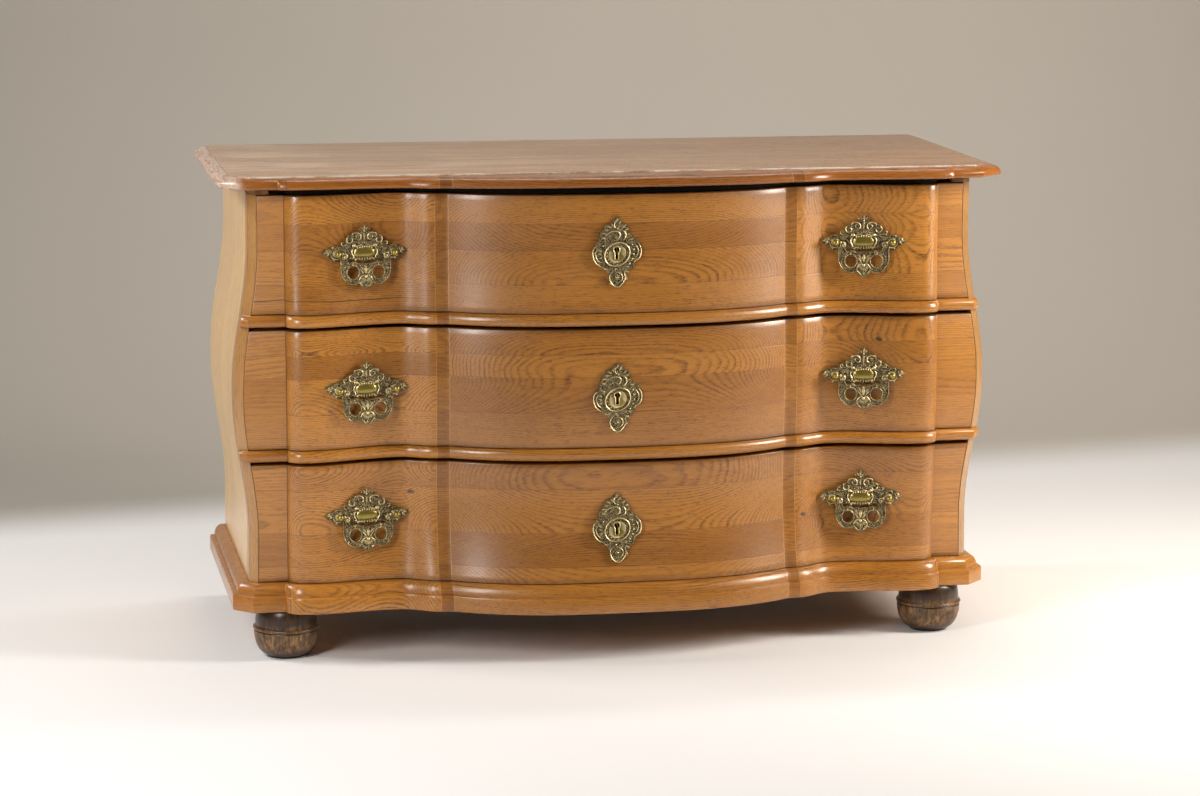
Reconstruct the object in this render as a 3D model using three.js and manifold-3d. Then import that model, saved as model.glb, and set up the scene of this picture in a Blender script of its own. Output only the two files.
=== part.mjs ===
// Chest of three drawers in oak: serpentine front, bombé sides, canted corners,
// turned bun feet, and cast brass handles and escutcheons.
// Millimetres, X to the right, Y to the back, Z up. The origin is on the floor
// under the middle of the whole chest.
import * as THREE from "three";
import { mergeVertices } from "three/addons/utils/BufferGeometryUtils.js";
import Module from "manifold-3d";

const wasm = await Module();
wasm.setup();

// Fits
const touch = 0.3; // left between pieces that touch
const overrun = 6; // how far a cutting body runs past what it cuts
const quarter = Math.PI / 2;

// Heights
const footHeight = 84.5;
const fasciaHeight = 27.5; // plain lower part of the base moulding
const ovoloHeight = 19; // round upper part of the base moulding
const drawerHeights = [198.5, 201, 201]; // fronts, from the top drawer down
const gapUnderDrawer = 1;
const gapOverDrawer = 6.5;
const railHeight = 20;
const gapOverTopDrawer = 2;
const topRailHeight = 12.5;
const topThickness = 20;

// Plan of the carcase
const carcaseHalfWidth = 624;
const carcaseDepth = 487;
const cantWidth = 15; // canted front corners
const sideThickness = 22;
const sideStart = 44; // the side boards start this far behind the flat front
const backThickness = 12;
const stileDepth = 70;
const railDepth = 80;
const frontThickness = 30; // drawer fronts

// Bombé swelling of the sides, and its share in the front
const bulgeDepth = 27;
const bulgeLevel = 455;
const bulgeReach = 250;
const footFlare = 5;
const frontBulgeShare = 0.5;
const apronSwell = 30; // the middle of the lowest drawer comes further forward
const levelStep = 50; // the swelling is straight between levels this far apart

// Serpentine plan of the front: places from the middle outwards
const flatWidth = 60; // flat end beside each corner
const shoulderWidth = 30; // where the lobe turns in to the flat end
const cellWidth = 252; // hollow and lobe, from the strip to the flat end
const stripWidth = 22;
const hollowRun = 60;
const seamPlace = carcaseHalfWidth - flatWidth;
const lobePlace = seamPlace - shoulderWidth;
const stripOuter = seamPlace - cellWidth;
const stripInner = stripOuter - stripWidth;
const hollowPlace = stripOuter + hollowRun;
const bowPower = 3;
const drawerPlan = { bow: 76, stripIn: 15, stripOut: 13, hollow: -9, lobe: 22, shoulderOut: 0 };
const basePlan = { ...drawerPlan, shoulderOut: 6.5 }; // the shoulders of wide mouldings stand further out
const topPlan = { bow: 48, stripIn: 21, stripOut: 19, hollow: 2, lobe: 8, shoulderOut: 14 };
const bowSteps = 5;
const hollowSteps = 3;
const lobeSteps = 5;
const shoulderSteps = 3;

// Mouldings
const beadProjection = 11; // half-round bead on the rails between drawers
const beadFillet = 2;
const beadSteps = 4;
const baseProjection = 28;
const baseRound = 2.5;
const ovoloProjection = 20;
const ovoloTopProjection = 6;
const ovoloSteps = 3;
const topProjection = 50;
const topMouldingWidth = 21;
const topBackOverhang = 15;
const quirkDepth = 2; // the moulding starts this far below the panel
const quirkWidth = 1.5;
const topUnderRound = 4;
const thumbSteps = 3;
const topRailRecess = 12;
const topRailBlock = 20; // the rail's ends come forward over the stiles

// Plinth frame and feet
const slabDepth = 75;
const slabWidth = 109;
const slabInner = carcaseHalfWidth - slabWidth;
const footInset = 58;
const footPlace = carcaseHalfWidth - footInset;
const frontFootY = 16;
const backFootInset = 60;
const footBelly = 55;
const footRing = 56.5;
const footShoulder = 52;
const footNeck = 46;
const footSole = 33;
const tenonRadius = 15;
const tenonHeight = 20;
const footSegments = 12;

// Drawer boxes, runners and guides
const boxInset = 54; // from the carcase's half width to the outside of the box
const boxHalfWidth = carcaseHalfWidth - boxInset;
const boxWall = 12;
const boxBackGap = 35; // behind the box, to the back board
const boxBack = carcaseDepth - backThickness - boxBackGap;
const boxSetDown = 16; // the sides end this far below the top of their front
const boxBottomRise = 8;
const boxBottomThickness = 8;
const guideClearance = 1;
const guideHeight = 30;
const runnerWidth = 30; // under the box
const runnerInner = boxHalfWidth - runnerWidth;
const cheekWidth = 36; // the front is thickest this far inside the box's sides

// Locks, from the top edge of each front down to its keyhole
const keyholeShift = -15; // the keyholes stand a little left of the middle
const keyholeDrops = [97.5, 116, 112];
const keyholeRadius = 4.6;
const keyholeSlot = 4.6;
const keyholeLength = 20;
const lockWidth = 80;
const lockDepth = 14;
const lockBelowKeyhole = 22;
const lockFace = 3; // thickness of the case in front of the bolt
const boltWidth = 32;
const boltThickness = 6;
const boltLength = 48;
const boltEngagement = 7.5;
const boltClearance = 0.5;

// Handles, in a frame of their own: across, up and out from the wood
const handleInset = 132; // from the flat ends
const handlePlace = seamPlace - handleInset;
const handleRises = [2, 0, 11]; // above the middle of each front
const plateHalfWidth = 75;
const plateRise = 44;
const plateThickness = 2.4;
const plateBevel = 0.8;
const postPlace = 49;
const postRadius = 4.4;
const postHeight = 11.5;
const knobRadius = 5.8;
const knobOut = 14.5;
const shankRadius = 3;
const shankClearance = 0.5;
const nutSize = 10;
const nutThickness = 4;
const shankTail = 3;
const pivotOut = 8; // the bail turns this far out from the plate's back
const pinRadius = 1.8;
const pinClearance = 0.4;
const pinLength = 3;
const bailThickness = 6;
const bailHalfWidth = 44;
const bailDrop = 59;
const bailSideGap = 0.6;
const bailEye = 4;
const bailBevel = 1.2;
const shieldHalfWidth = 18;
const shieldHalfHeight = 10.5;
const shieldRise = 3;
const shieldUp = 3.5;
const knobSegments = 8;
const knobRings = 4;
const shankSegments = 6;
const pinSegments = 6;
const cushionSegments = 8;
const cushionRings = 4;

// Escutcheons
const escutcheonHalfWidth = 41;
const escutcheonRise = 59;
const escutcheonThickness = 2.6;
const cartoucheRise = 2.2;
const cartoucheHalfWidth = 20.5;
const cartoucheHalfHeight = 19.5;

// Outlines as shares: across of the half width, up of the rise
const roundPlateShares = [
  [0, 1], [0.1, 0.78], [0.25, 0.68], [0.38, 0.52], [0.43, 0.3], [0.6, 0.32], [0.75, 0.13],
  [0.86, 0.18], [1, 0.02], [0.87, -0.12], [0.73, -0.3], [0.62, -0.2], [0.4, -0.26], [0.16, -0.33],
  [0, -0.3],
];
const diamondPlateShares = [
  [0, 1.1], [0.07, 0.88], [0.28, 0.62], [0.47, 0.47], [0.55, 0.53], [0.62, 0.38], [0.77, 0.36],
  [0.93, 0.18], [1, 0.04], [0.9, -0.13], [0.65, -0.26], [0.4, -0.24], [0.16, -0.33], [0, -0.3],
];
const bailOuterShares = [
  [1, 0.02], [0.92, -0.3], [0.94, -0.48], [0.84, -0.68], [0.62, -0.82], [0.38, -0.83],
  [0.22, -0.78], [0.2, -0.88], [0, -1],
];
const bailInnerShares = [
  [0, -0.34], [0.16, -0.3], [0.3, -0.32], [0.47, -0.24], [0.6, -0.32], [0.74, -0.27], [0.84, -0.1],
];
const eyeInnerShare = 0.84;
const loopPlaceShare = 0.52;
const loopDropShare = 0.56;
const loopHalfWidth = 8;
const loopHalfHeight = 9.5;
const loopSegments = 8;
const escutcheonShares = [
  [0, 1], [0.17, 0.95], [0.31, 0.81], [0.49, 0.75], [0.67, 0.51], [0.66, 0.39], [0.82, 0.27],
  [0.99, 0.09], [0.98, -0.1], [0.88, -0.27], [0.7, -0.4], [0.38, -0.59], [0.35, -0.72],
  [0.26, -0.84], [0, -1],
];

// A casting is seated on the diamond of wood behind it; its corners are cut off at this share.
const seatCornerShare = 1.3;

// Heights that follow from the sizes above
const fasciaTop = footHeight + fasciaHeight;
const baseTop = fasciaTop + ovoloHeight;
const drawerBottoms = [0, 0, 0];
const railBottoms = [0, 0]; // upper rail, lower rail
drawerBottoms[2] = baseTop + gapUnderDrawer;
for (const i of [1, 0]) {
  railBottoms[i] = drawerBottoms[i + 1] + drawerHeights[i + 1] + gapOverDrawer;
  drawerBottoms[i] = railBottoms[i] + railHeight + gapUnderDrawer;
}
const stileTop = drawerBottoms[0] + drawerHeights[0] + gapOverTopDrawer;
const underTop = stileTop + topRailHeight;
const topLevel = underTop + topThickness;
const stileInner = boxHalfWidth + guideClearance;
const mitre = Math.tan(Math.PI / 8); // of a moulding's run round a canted corner

// Materials
function finish(color, roughness, metalness = 0) {
  return new THREE.MeshStandardMaterial({ color, roughness, metalness });
}
const oak = finish(0xb9793a, 0.5);
const topOak = finish(0x8a6442, 0.55);
const darkOak = finish(0x4a2f1c, 0.5);
const plainOak = finish(0x9c7a50, 0.75);
const brass = finish(0x7d6a35, 0.4, 0.9);
const iron = finish(0x4a4743, 0.6, 0.8);

// Curves of the front and sides

function clampShare(value) {
  return THREE.MathUtils.clamp(value, 0, 1);
}

function smoothBulge(z) {
  const away = clampShare(Math.abs(z - bulgeLevel) / bulgeReach);
  const flare = clampShare((bulgeLevel - z) / (bulgeLevel - baseTop));
  return bulgeDepth * Math.cos(quarter * away) ** 2 + footFlare * flare;
}

function smoothApron(z) {
  const drawerTop = drawerBottoms[2] + drawerHeights[2];
  return apronSwell * clampShare((drawerTop - z) / (drawerTop - baseTop)) ** 2;
}

// Reads a curve on straight stretches, so that neighbours made at other heights still match.
function onLevels(curve, z) {
  const low = Math.floor(z / levelStep) * levelStep;
  return THREE.MathUtils.lerp(curve(low), curve(low + levelStep), (z - low) / levelStep);
}

function halfWidth(z) {
  return carcaseHalfWidth + onLevels(smoothBulge, z);
}

function flatFront(z) {
  return -frontBulgeShare * onLevels(smoothBulge, z);
}

function ease(from, to, share) {
  return from + (to - from) * (0.5 - 0.5 * Math.cos(Math.PI * share));
}

// How far the front stands before its flat ends, at a place across.
function frontDepth(x, plan) {
  const a = Math.abs(x);
  if (a <= stripInner) return plan.stripIn + (plan.bow - plan.stripIn) * (1 - (a / stripInner) ** bowPower);
  if (a <= stripOuter) {
    return THREE.MathUtils.mapLinear(a, stripInner, stripOuter, plan.stripIn, plan.stripOut);
  }
  if (a <= hollowPlace) return ease(plan.stripOut, plan.hollow, (a - stripOuter) / hollowRun);
  if (a <= lobePlace) return ease(plan.hollow, plan.lobe, (a - hollowPlace) / (lobePlace - hollowPlace));
  if (a < seamPlace) return plan.lobe * Math.sqrt(1 - ((a - lobePlace) / (seamPlace - lobePlace)) ** 2);
  return 0;
}

function frontY(x, z, plan = drawerPlan) {
  const apronPart = clampShare((seamPlace - Math.abs(x)) / (seamPlace - stripOuter));
  return flatFront(z) - frontDepth(x, plan) - onLevels(smoothApron, z) * apronPart;
}

function mirrored(half) {
  return [...half.slice(1).reverse().map((x) => -x), ...half];
}

function frontStations() {
  const half = [0];
  const steps = (count, place) => {
    for (let i = 1; i <= count; i++) half.push(place(i / count));
  };
  steps(bowSteps, (s) => stripInner * Math.sin(quarter * s));
  steps(1, () => stripOuter);
  steps(hollowSteps, (s) => THREE.MathUtils.lerp(stripOuter, hollowPlace, s));
  steps(lobeSteps, (s) => THREE.MathUtils.lerp(hollowPlace, lobePlace, s));
  steps(shoulderSteps, (s) => lobePlace + (seamPlace - lobePlace) * Math.sin(quarter * s));
  return mirrored(half);
}
const stations = frontStations();

// Solids

// Joins closed outlines with equal counts of points, each anticlockwise from above, from the bottom up.
function loft(loops) {
  const count = loops[0].length;
  const index = [];
  for (let level = 0; level + 1 < loops.length; level++) {
    for (let j = 0; j < count; j++) {
      const a = level * count + j;
      const b = level * count + ((j + 1) % count);
      index.push(a, b, b + count, a, b + count, a + count);
    }
  }
  const last = (loops.length - 1) * count;
  const cap = (loop) => THREE.ShapeUtils.triangulateShape(loop.map((p) => new THREE.Vector2(p[0], p[1])), []);
  for (const [a, b, c] of cap(loops[0])) index.push(a, c, b);
  for (const [a, b, c] of cap(loops.at(-1))) index.push(last + a, last + b, last + c);
  return new THREE.BufferGeometry()
    .setAttribute("position", new THREE.Float32BufferAttribute(loops.flat(2), 3))
    .setIndex(index);
}

function atHeight(z, outline) {
  return outline.map(([x, y]) => [x, y, z]);
}

// A loft of outlines that depend on the height, with a level at each bend of the swelling.
function tallLoft(bottom, top, outline) {
  const levels = [bottom];
  for (let z = (Math.floor(bottom / levelStep) + 1) * levelStep; z < top; z += levelStep) levels.push(z);
  levels.push(top);
  return loft(levels.map((z) => atHeight(z, outline(z))));
}

function box(x0, x1, y0, y1, z0, z1) {
  return new THREE.BoxGeometry(x1 - x0, y1 - y0, z1 - z0)
    .translate((x0 + x1) / 2, (y0 + y1) / 2, (z0 + z1) / 2);
}

function solid(geometry) {
  const bare = geometry.clone();
  bare.deleteAttribute("normal");
  bare.deleteAttribute("uv");
  const merged = mergeVertices(bare, 1e-3);
  return new wasm.Manifold(
    new wasm.Mesh({
      numProp: 3,
      vertProperties: merged.attributes.position.array,
      triVerts: new Uint32Array(merged.index.array),
    }),
  );
}

function geometryOf(body) {
  const mesh = body.getMesh();
  return new THREE.BufferGeometry()
    .setAttribute("position", new THREE.BufferAttribute(mesh.vertProperties, 3))
    .setIndex(new THREE.BufferAttribute(mesh.triVerts, 1));
}

function cut(geometry, cutters) {
  return geometryOf(cutters.reduce((body, cutter) => body.subtract(solid(cutter)), solid(geometry)));
}

function joined(geometries) {
  return geometryOf(geometries.map(solid).reduce((body, next) => body.add(next)));
}

function mirrorOutline(side, outline) {
  return side > 0 ? outline : outline.map(([x, y]) => [-x, y]).reverse();
}

// The chest

const chest = new THREE.Group();
chest.name = "chest_of_drawers";

function place(parent, name, geometry, material) {
  const mesh = new THREE.Mesh(geometry, material);
  mesh.name = name;
  parent.add(mesh);
  return mesh;
}

const sides = [["left", -1], ["right", 1]];
const drawerNames = ["upper_drawer", "middle_drawer", "lower_drawer"];

// Half of a moulded outline's canted corner: its front end and its outer end, for a projection.
function cantFront(z, projection) {
  return [halfWidth(z) - cantWidth + mitre * projection, flatFront(z) - projection];
}

function cantEnd(z, projection) {
  return [halfWidth(z) + projection, flatFront(z) + cantWidth - mitre * projection];
}

function flip([x, y]) {
  return [-x, y];
}

// The moulded front line from one canted corner to the other.
function mouldedFront(z, projection, plan) {
  const corner = cantFront(z, projection);
  const line = stations.map((x) => {
    const lobePart = clampShare((Math.abs(x) - hollowPlace) / (lobePlace - hollowPlace));
    return [x + Math.sign(x) * plan.shoulderOut * lobePart, frontY(x, z, plan) - projection];
  });
  return [flip(corner), ...line, corner];
}

function tenonHole(side, y) {
  const radius = tenonRadius + touch;
  return new THREE.CylinderGeometry(radius, radius, 2 * tenonHeight, footSegments)
    .rotateX(quarter)
    .translate(side * footPlace, y, footHeight);
}

// Carcase boards

function sideBoard(side) {
  return tallLoft(fasciaTop + touch, underTop - touch, (z) => {
    const outer = halfWidth(z);
    return mirrorOutline(side, [
      [outer, sideStart + touch], [outer, carcaseDepth],
      [outer - sideThickness, carcaseDepth], [outer - sideThickness, sideStart + touch],
    ]);
  });
}

function stile(side) {
  return tallLoft(fasciaTop + touch, stileTop, (z) => {
    const outer = halfWidth(z);
    const inside = outer - sideThickness - touch;
    return mirrorOutline(side, [
      cantFront(z, 0), cantEnd(z, 0), [outer, sideStart], [inside, sideStart], [inside, stileDepth],
      [stileInner, stileDepth], [stileInner, frontThickness + touch],
      [outer - cantWidth, frontThickness + touch],
    ]);
  });
}

function backBoard() {
  return tallLoft(fasciaTop + touch, underTop - touch, (z) => {
    const reach = halfWidth(z) - sideThickness - touch;
    const front = carcaseDepth - backThickness;
    return [[-reach, front], [reach, front], [reach, carcaseDepth], [-reach, carcaseDepth]];
  });
}

// Rail between two drawers, with a half-round bead that runs over the canted stiles.
function beadRail(bottom, mortise) {
  const loops = [];
  for (let i = 0; i <= beadSteps; i++) {
    const turn = quarter * (2 * i / beadSteps - 1);
    const z = bottom + railHeight * (0.5 + 0.5 * Math.sin(turn));
    const projection = beadFillet + (beadProjection - beadFillet) * Math.cos(turn);
    const outer = halfWidth(z);
    const end = [outer, cantEnd(z, 0)[1] - Math.SQRT2 * projection];
    const back = [
      [outer, cantEnd(z, 0)[1] - Math.SQRT2 * touch], cantFront(z, touch),
      [outer - cantWidth - touch, flatFront(z) - touch], [outer - cantWidth - touch, frontThickness],
      [stileInner - touch, frontThickness], [stileInner - touch, railDepth],
    ];
    const line = [flip(end), ...mouldedFront(z, projection, drawerPlan), end];
    loops.push(atHeight(z, [...line, ...back, ...back.map(flip).reverse()]));
  }
  return cut(loft(loops), [mortise]);
}

// Rail under the top: set back, but its end blocks lie flush over the stiles.
function topRail(mortise) {
  const z = stileTop + touch;
  const outer = halfWidth(z);
  const blockEnd = outer - cantWidth - topRailBlock;
  const inside = outer - sideThickness - touch;
  const setBack = stations.map((x) => [x, frontY(x, z) + topRailRecess]);
  const corner = [[blockEnd, topRailRecess], [blockEnd, 0], cantFront(z, 0), cantEnd(z, 0)];
  const back = [[outer, sideStart], [inside, sideStart], [inside, stileDepth]];
  const outline = [
    ...corner.map(flip).reverse(), ...setBack, ...corner, ...back, ...back.map(flip).reverse(),
  ];
  return cut(loft([atHeight(z, outline), atHeight(underTop - touch, outline)]), [mortise]);
}

function bottomBoard() {
  const reach = halfWidth(fasciaTop) - sideThickness - touch;
  const between = stileInner - touch;
  const half = [
    [between, frontThickness + touch], [between, stileDepth + touch],
    [reach, stileDepth + touch], [reach, carcaseDepth - backThickness - touch],
  ];
  const outline = [...half, ...half.map(flip).reverse()];
  return loft([atHeight(fasciaTop + touch, outline), atHeight(baseTop, outline)]);
}

// Base moulding: a plain fascia with an ovolo over it. The fascia is one with the plinth frame.
function baseProfile() {
  const levels = [
    { z: footHeight, projection: baseProjection - baseRound / 2, deep: true },
    { z: footHeight + baseRound / 2, projection: baseProjection, deep: true },
    { z: fasciaTop - baseRound, projection: baseProjection, deep: true },
    { z: fasciaTop, projection: baseProjection - baseRound, deep: true },
  ];
  for (let i = 0; i <= ovoloSteps; i++) {
    const turn = quarter * i / ovoloSteps;
    const projection = THREE.MathUtils.lerp(ovoloTopProjection, ovoloProjection, Math.cos(turn));
    levels.push({ z: fasciaTop + ovoloHeight * Math.sin(turn), projection, deep: false });
  }
  return levels;
}

function baseFront() {
  const loops = baseProfile().map(({ z, projection, deep }) => {
    const outer = halfWidth(z);
    const inside = outer - cantWidth - touch;
    const back = deep
      ? [cantEnd(z, 0), [outer, frontThickness], [outer, slabDepth], [inside, slabDepth]]
      : [cantEnd(z, touch), cantFront(z, touch), [inside, flatFront(z) - touch], [inside, frontThickness]];
    const end = cantEnd(z, projection);
    const line = [flip(end), ...mouldedFront(z, projection, basePlan), end];
    return atHeight(z, [...line, ...back, ...back.map(flip).reverse()]);
  });
  return cut(loft(loops), sides.map(([, side]) => tenonHole(side, frontFootY)));
}

function baseSide(side) {
  const loops = baseProfile().map(({ z, projection, deep }) => {
    const outer = halfWidth(z) + projection;
    const wall = halfWidth(z) + touch;
    const mitreGap = touch * Math.SQRT2;
    const inner = deep
      ? [[slabInner, carcaseDepth], [slabInner, slabDepth + touch]]
      : [[wall, carcaseDepth], [wall, carcaseDepth / 2]];
    return atHeight(z, mirrorOutline(side, [
      [outer, cantEnd(z, projection)[1] + mitreGap], [outer, carcaseDepth], ...inner,
      [wall, slabDepth + touch], [wall, cantEnd(z, touch)[1] + mitreGap],
    ]));
  });
  return cut(loft(loops), [tenonHole(side, carcaseDepth - backFootInset)]);
}

// Bun foot with a ring between two grooves, and a round tenon into the plinth frame.
function bunFoot() {
  const ringBottom = 47;
  const ringTop = 54;
  const ringRound = 1.5;
  const soleStep = 3;
  const bellySteps = 3;
  const profile = [[0, 0], [footSole, 0], [footSole, soleStep]];
  const inner = footSole - soleStep / 2;
  for (let i = 0; i < bellySteps; i++) {
    const turn = quarter * (i + 0.5) / bellySteps;
    profile.push([
      inner + (footBelly - inner) * Math.sin(turn),
      soleStep + (ringBottom - soleStep) * (1 - Math.cos(turn)) + ringRound,
    ]);
  }
  profile.push(
    [footRing - ringRound, ringBottom], [footRing, ringBottom + ringRound], [footRing, ringTop - ringRound],
    [footShoulder, ringTop], [footShoulder, (ringTop + footHeight) / 2],
    [footNeck, footHeight - touch], [tenonRadius, footHeight - touch],
    [tenonRadius, footHeight + tenonHeight - touch], [0, footHeight + tenonHeight - touch],
  );
  return new THREE.LatheGeometry(profile.map(([r, z]) => new THREE.Vector2(r, z)), footSegments)
    .rotateX(quarter);
}

// The top: a flat panel with straight sides, and a thumb moulding glued round its front and ends.
// The moulding is flush with the serpentine outside, and wide in front of the bow.

const topBack = carcaseDepth + topBackOverhang;
const panelProjection = topProjection - topMouldingWidth;

function panelLine(projection) {
  const end = cantEnd(underTop, projection);
  const half = [cantFront(underTop, projection), end, [end[0], topBack]];
  return [...half.map(flip).reverse(), ...half];
}

function topLine(projection) {
  const end = cantEnd(underTop, projection);
  return [
    [-end[0], topBack], flip(end), ...mouldedFront(underTop, projection, topPlan),
    end, [end[0], topBack],
  ];
}

function topPanel() {
  const outline = panelLine(panelProjection);
  return loft([atHeight(underTop, outline), atHeight(topLevel, outline)]);
}

function topMoulding() {
  const inner = panelLine(panelProjection + touch).reverse();
  const levels = [[underTop, topProjection - topUnderRound]];
  const springing = underTop + topUnderRound;
  const crown = topLevel - quirkDepth;
  for (let i = 0; i <= thumbSteps; i++) {
    const turn = quarter * i / thumbSteps;
    levels.push([
      springing + (crown - springing) * Math.sin(turn),
      THREE.MathUtils.lerp(panelProjection + quirkWidth, topProjection, Math.cos(turn)),
    ]);
  }
  return loft(levels.map(([z, projection]) => atHeight(z, [...topLine(projection), ...inner])));
}

// Runners and guides

function runner(side, index) {
  const back = carcaseDepth - backThickness - touch;
  if (index === 2) {
    const reach = halfWidth(baseTop) - sideThickness - touch;
    const [x0, x1] = side > 0 ? [stileInner, reach] : [-reach, -stileInner];
    return box(x0, x1, stileDepth + touch, back, baseTop + touch, baseTop + guideHeight);
  }
  const bottom = railBottoms[index];
  const level = bottom + railHeight;
  const reach = Math.min(halfWidth(bottom), halfWidth(level + guideHeight)) - sideThickness - touch;
  const profile = [
    [runnerInner, bottom], [reach, bottom], [reach, level + guideHeight],
    [stileInner, level + guideHeight], [stileInner, level], [runnerInner, level],
  ];
  const shape = new THREE.Shape(profile.map(([x, z]) => new THREE.Vector2(side * x, z)));
  return new THREE.ExtrudeGeometry(shape, { depth: back - railDepth - touch, bevelEnabled: false, steps: 1 })
    .rotateX(quarter)
    .translate(0, back, 0);
}

// Locks

function keyholeLevel(index) {
  return drawerBottoms[index] + drawerHeights[index] - keyholeDrops[index];
}

// Round head with a straight slot under it, centred on its whole length, in the plane of the front.
function keyholeShape() {
  const headUp = keyholeLength / 2 - keyholeRadius;
  const start = Math.asin(keyholeSlot / 2 / keyholeRadius);
  const points = [];
  const segments = 8;
  for (let i = 0; i <= segments; i++) {
    const turn = -quarter + start + (2 * Math.PI - 2 * start) * i / segments;
    points.push(new THREE.Vector2(keyholeRadius * Math.cos(turn), headUp + keyholeRadius * Math.sin(turn)));
  }
  points.push(
    new THREE.Vector2(-keyholeSlot / 2, -keyholeLength / 2),
    new THREE.Vector2(keyholeSlot / 2, -keyholeLength / 2),
  );
  return new THREE.Shape(points);
}

function keyholeCutter(index, y0, y1) {
  return new THREE.ExtrudeGeometry(keyholeShape(), { depth: y1 - y0, bevelEnabled: false, steps: 1 })
    .rotateX(quarter)
    .translate(keyholeShift, y1, keyholeLevel(index));
}

// Box of the lock's case, let into the back of the front at its top edge.
function lockBox(index, grown = 0, up = 0, backwards = 0) {
  const top = drawerBottoms[index] + drawerHeights[index];
  const back = frontThickness - frontDepth(keyholeShift, drawerPlan);
  return box(
    keyholeShift - lockWidth / 2 - grown, keyholeShift + lockWidth / 2 + grown,
    back - lockDepth - grown, back + backwards,
    keyholeLevel(index) - lockBelowKeyhole - grown, top + up,
  );
}

function boltBox(index, grown, bottom, top) {
  const face = frontThickness - frontDepth(keyholeShift, drawerPlan) - lockDepth + lockFace;
  const half = boltWidth / 2 + grown;
  return box(
    keyholeShift - half, keyholeShift + half, face - grown, face + boltThickness + grown, bottom, top,
  );
}

function boltThrow(index) {
  return (index ? gapOverDrawer : gapOverTopDrawer) + boltEngagement;
}

function boltMortise(index) {
  const top = drawerBottoms[index] + drawerHeights[index];
  return boltBox(index, boltClearance, top, top + boltThrow(index) + boltClearance);
}

function makeLock(group, name, index) {
  const top = drawerBottoms[index] + drawerHeights[index];
  const face = frontThickness - frontDepth(keyholeShift, drawerPlan) - lockDepth;
  const chamber = boltBox(index, boltClearance, top - boltLength - boltClearance, top + overrun);
  const hole = keyholeCutter(index, face - overrun, face + lockDepth / 2);
  place(group, name + "_lock_case", cut(lockBox(index), [chamber, hole]), iron);
  place(group, name + "_lock_bolt", boltBox(index, 0, top - boltLength, top), iron);
}

// Handles

// A closed outline from the shares of its right half, mirrored about the upright axis.
function ornateOutline(shares, halfAcross, rise) {
  const half = shares.map(([a, b]) => new THREE.Vector2(a * halfAcross, b * rise));
  const left = half.slice(1, -1).reverse().map((p) => new THREE.Vector2(-p.x, p.y));
  return [...half, ...left].reverse();
}

function bevelled(shape, thickness, bevel) {
  return new THREE.ExtrudeGeometry(shape, {
    depth: thickness - 2 * bevel,
    bevelThickness: bevel,
    bevelSize: bevel,
    bevelOffset: -bevel,
    bevelSegments: 1,
    steps: 1,
  }).translate(0, 0, bevel);
}

// A low cushion on the plate: the upper part of an ellipsoid.
function cushion(y, halfAcross, halfUp, bottom, rise) {
  return new THREE.SphereGeometry(1, cushionSegments, cushionRings)
    .rotateX(quarter)
    .scale(halfAcross, halfUp, rise)
    .translate(0, y, bottom);
}

function rod(radius, from, to, segments) {
  return new THREE.CylinderGeometry(radius, radius, to - from, segments)
    .rotateX(quarter)
    .translate(0, 0, (from + to) / 2);
}

// Pose of a casting on the front: tangent to the wood over its own reach, and just clear of it.
function seatOnFront(x, z, across, up) {
  const y = (dx, dz) => frontY(x + dx, z + dz);
  const slopeX = (y(across, 0) - y(-across, 0)) / (2 * across);
  const slopeZ = (y(0, up) - y(0, -up)) / (2 * up);
  const out = new THREE.Vector3(slopeX, -1, slopeZ).normalize();
  const right = new THREE.Vector3(1, slopeX, 0).normalize();
  const upwards = new THREE.Vector3().crossVectors(out, right);
  const centre = new THREE.Vector3(x, y(0, 0), z);
  const samples = 24;
  let stand = 0;
  for (let i = 0; i <= samples; i++) {
    for (let j = 0; j <= samples; j++) {
      const dx = across * (2 * i / samples - 1);
      const dz = up * (2 * j / samples - 1);
      if (Math.abs(dx) / across + Math.abs(dz) / up > seatCornerShare) continue;
      const point = new THREE.Vector3(x + dx, y(dx, dz), z + dz);
      stand = Math.max(stand, point.sub(centre).dot(out));
    }
  }
  const matrix = new THREE.Matrix4().makeBasis(right, upwards, out);
  return matrix.setPosition(centre.addScaledVector(out, stand + touch));
}

function handlePlate(shares, reach) {
  const shape = new THREE.Shape(ornateOutline(shares, plateHalfWidth, plateRise));
  const parts = [
    bevelled(shape, plateThickness, plateBevel),
    cushion(shieldUp, shieldHalfWidth, shieldHalfHeight, plateThickness - plateBevel, shieldRise),
  ];
  for (const [, side] of sides) {
    const post = [
      rod(postRadius, plateThickness / 2, postHeight, knobSegments),
      new THREE.SphereGeometry(knobRadius, knobSegments, knobRings).rotateX(quarter).translate(0, 0, knobOut),
      rod(shankRadius, -reach - nutThickness - shankTail, plateThickness / 2, shankSegments),
      box(-nutSize / 2, nutSize / 2, -nutSize / 2, nutSize / 2, -reach - nutThickness, -reach),
    ];
    parts.push(...post.map((piece) => piece.translate(side * postPlace, 0, 0)));
  }
  const innerFace = postPlace - postRadius;
  const socketRadius = pinRadius + pinClearance;
  const sockets = sides.map(([, side]) => rod(socketRadius, -overrun, pinLength + pinClearance, pinSegments)
    .rotateY(side * quarter)
    .translate(side * innerFace, 0, pivotOut));
  return cut(joined(parts), sockets);
}

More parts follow.
